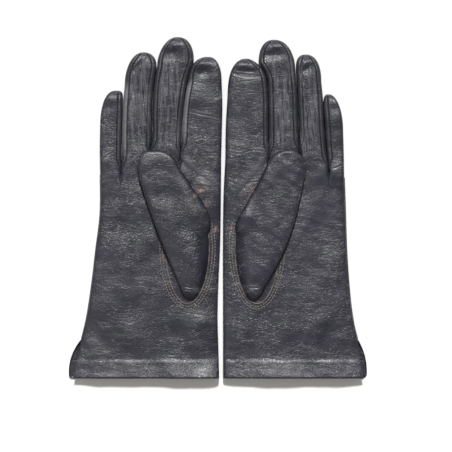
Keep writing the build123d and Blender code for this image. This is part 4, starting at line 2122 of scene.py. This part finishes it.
def back_relief(seed: int) -> Relief:
    """Light creases over the back of a glove, which the hand wears less than the palm.

    Args:
        seed: what the creases are drawn from.

    Returns:
        The relief.
    """
    zones = [
        CreaseZone((6, 96), (-110, 20), 70, (5, 15), 3, 12, 0.12),
        CreaseZone((4, 86), (36, 90), 50, (4, 10), 4, 14, 0.14),
    ]
    return Relief(seed, zones, [], 0.15)


# ---------------------------------------------------------------- the studio


@dataclass(frozen=True)
class Studio:
    """The pale floor, the lights and the camera above the pair, in metres."""

    view_centre: tuple[float, float] = (0.0028, -0.0136)
    view_width: float = 0.3324
    lens: float = 200.0
    sensor: float = 36.0
    floor_size: float = 6.0
    floor_height: float = -0.0002
    key_power: float = 4.2
    key_degrees: float = 9.5
    fill_power: float = 4.0
    fill_size: float = 1.2
    sky_colour: tuple[float, float, float] = (1.0, 0.975, 0.90)
    sky_power: float = 0.275

    def build(self) -> None:
        """Makes the camera, the floor and the lights."""
        self.build_camera()
        self.build_floor()
        self.build_lights()

    def build_camera(self) -> None:
        """The camera, which looks straight down."""
        distance = self.view_width * self.lens / self.sensor
        bpy.ops.object.camera_add(location=(*self.view_centre, distance), rotation=(0, 0, 0))
        camera = bpy.context.object
        camera.data.lens = self.lens
        camera.data.sensor_width = self.sensor
        bpy.context.scene.camera = camera

    def build_floor(self) -> None:
        """A sheet of white paper under the pair."""
        deselect()
        bpy.ops.mesh.primitive_plane_add(size=self.floor_size, location=(0, 0, self.floor_height))
        floor = bpy.context.object
        floor.name = "floor"
        material, tree, shader = blank_material("floor_paper")
        place = add(tree, "TexCoord").outputs["Object"]
        noise = add(tree, "TexNoise", in_Vector=place, in_Scale=6.0)
        tone = mix_colour(tree, noise.outputs["Fac"], (0.80, 0.80, 0.80), (0.84, 0.84, 0.835))
        tree.links.new(tone, shader.inputs["Base Color"])
        shader.inputs["Roughness"].default_value = 0.9
        floor.data.materials.append(material)

    def build_lights(self) -> None:
        """A soft sun beyond the fingertips, a weak fill from the cuffs, and a pale sky."""
        key = self.light("key", "SUN", (0.04, 1.24, 1.5), self.key_power)
        key.angle = math.radians(self.key_degrees)
        fill = self.light("fill", "AREA", (-0.7, -0.5, 1.5), self.fill_power)
        fill.size = self.fill_size
        world = bpy.data.worlds.new("studio")
        world.use_nodes = True
        sky = world.node_tree.nodes["Background"]
        sky.inputs["Color"].default_value = (*self.sky_colour, 1.0)
        sky.inputs["Strength"].default_value = self.sky_power
        bpy.context.scene.world = world
        bpy.context.scene.view_settings.view_transform = "Standard"

    def light(self, name: str, kind: str, place: tuple[float, float, float], power: float) -> bpy.types.Light:
        """Adds one light aimed at the pair and returns its settings.

        Args:
            name: the light's name.
            kind: SUN or AREA.
            place: where it stands, in metres.
            power: its strength, in watts for an area light.

        Returns:
            The light's settings.
        """
        deselect()
        bpy.ops.object.light_add(type=kind, location=place)
        lamp = bpy.context.object
        lamp.name = name
        lamp.data.energy = power
        lamp.rotation_euler = Vector(place).to_track_quat("Z", "Y").to_euler()
        return lamp.data


def main() -> None:
    """Builds the studio and both gloves around the frame."""
    logging.basicConfig(level=logging.INFO, format="%(message)s")
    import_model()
    sizes = FrameSizes.read()
    Studio().build()
    finishes = Finishes.build()
    for plan in (right_plan(), left_plan()):
        GloveMaker(plan, sizes, finishes).build()
        LOG.info("%s glove built", plan.hand.label)


if __name__ == "__main__":
    main()
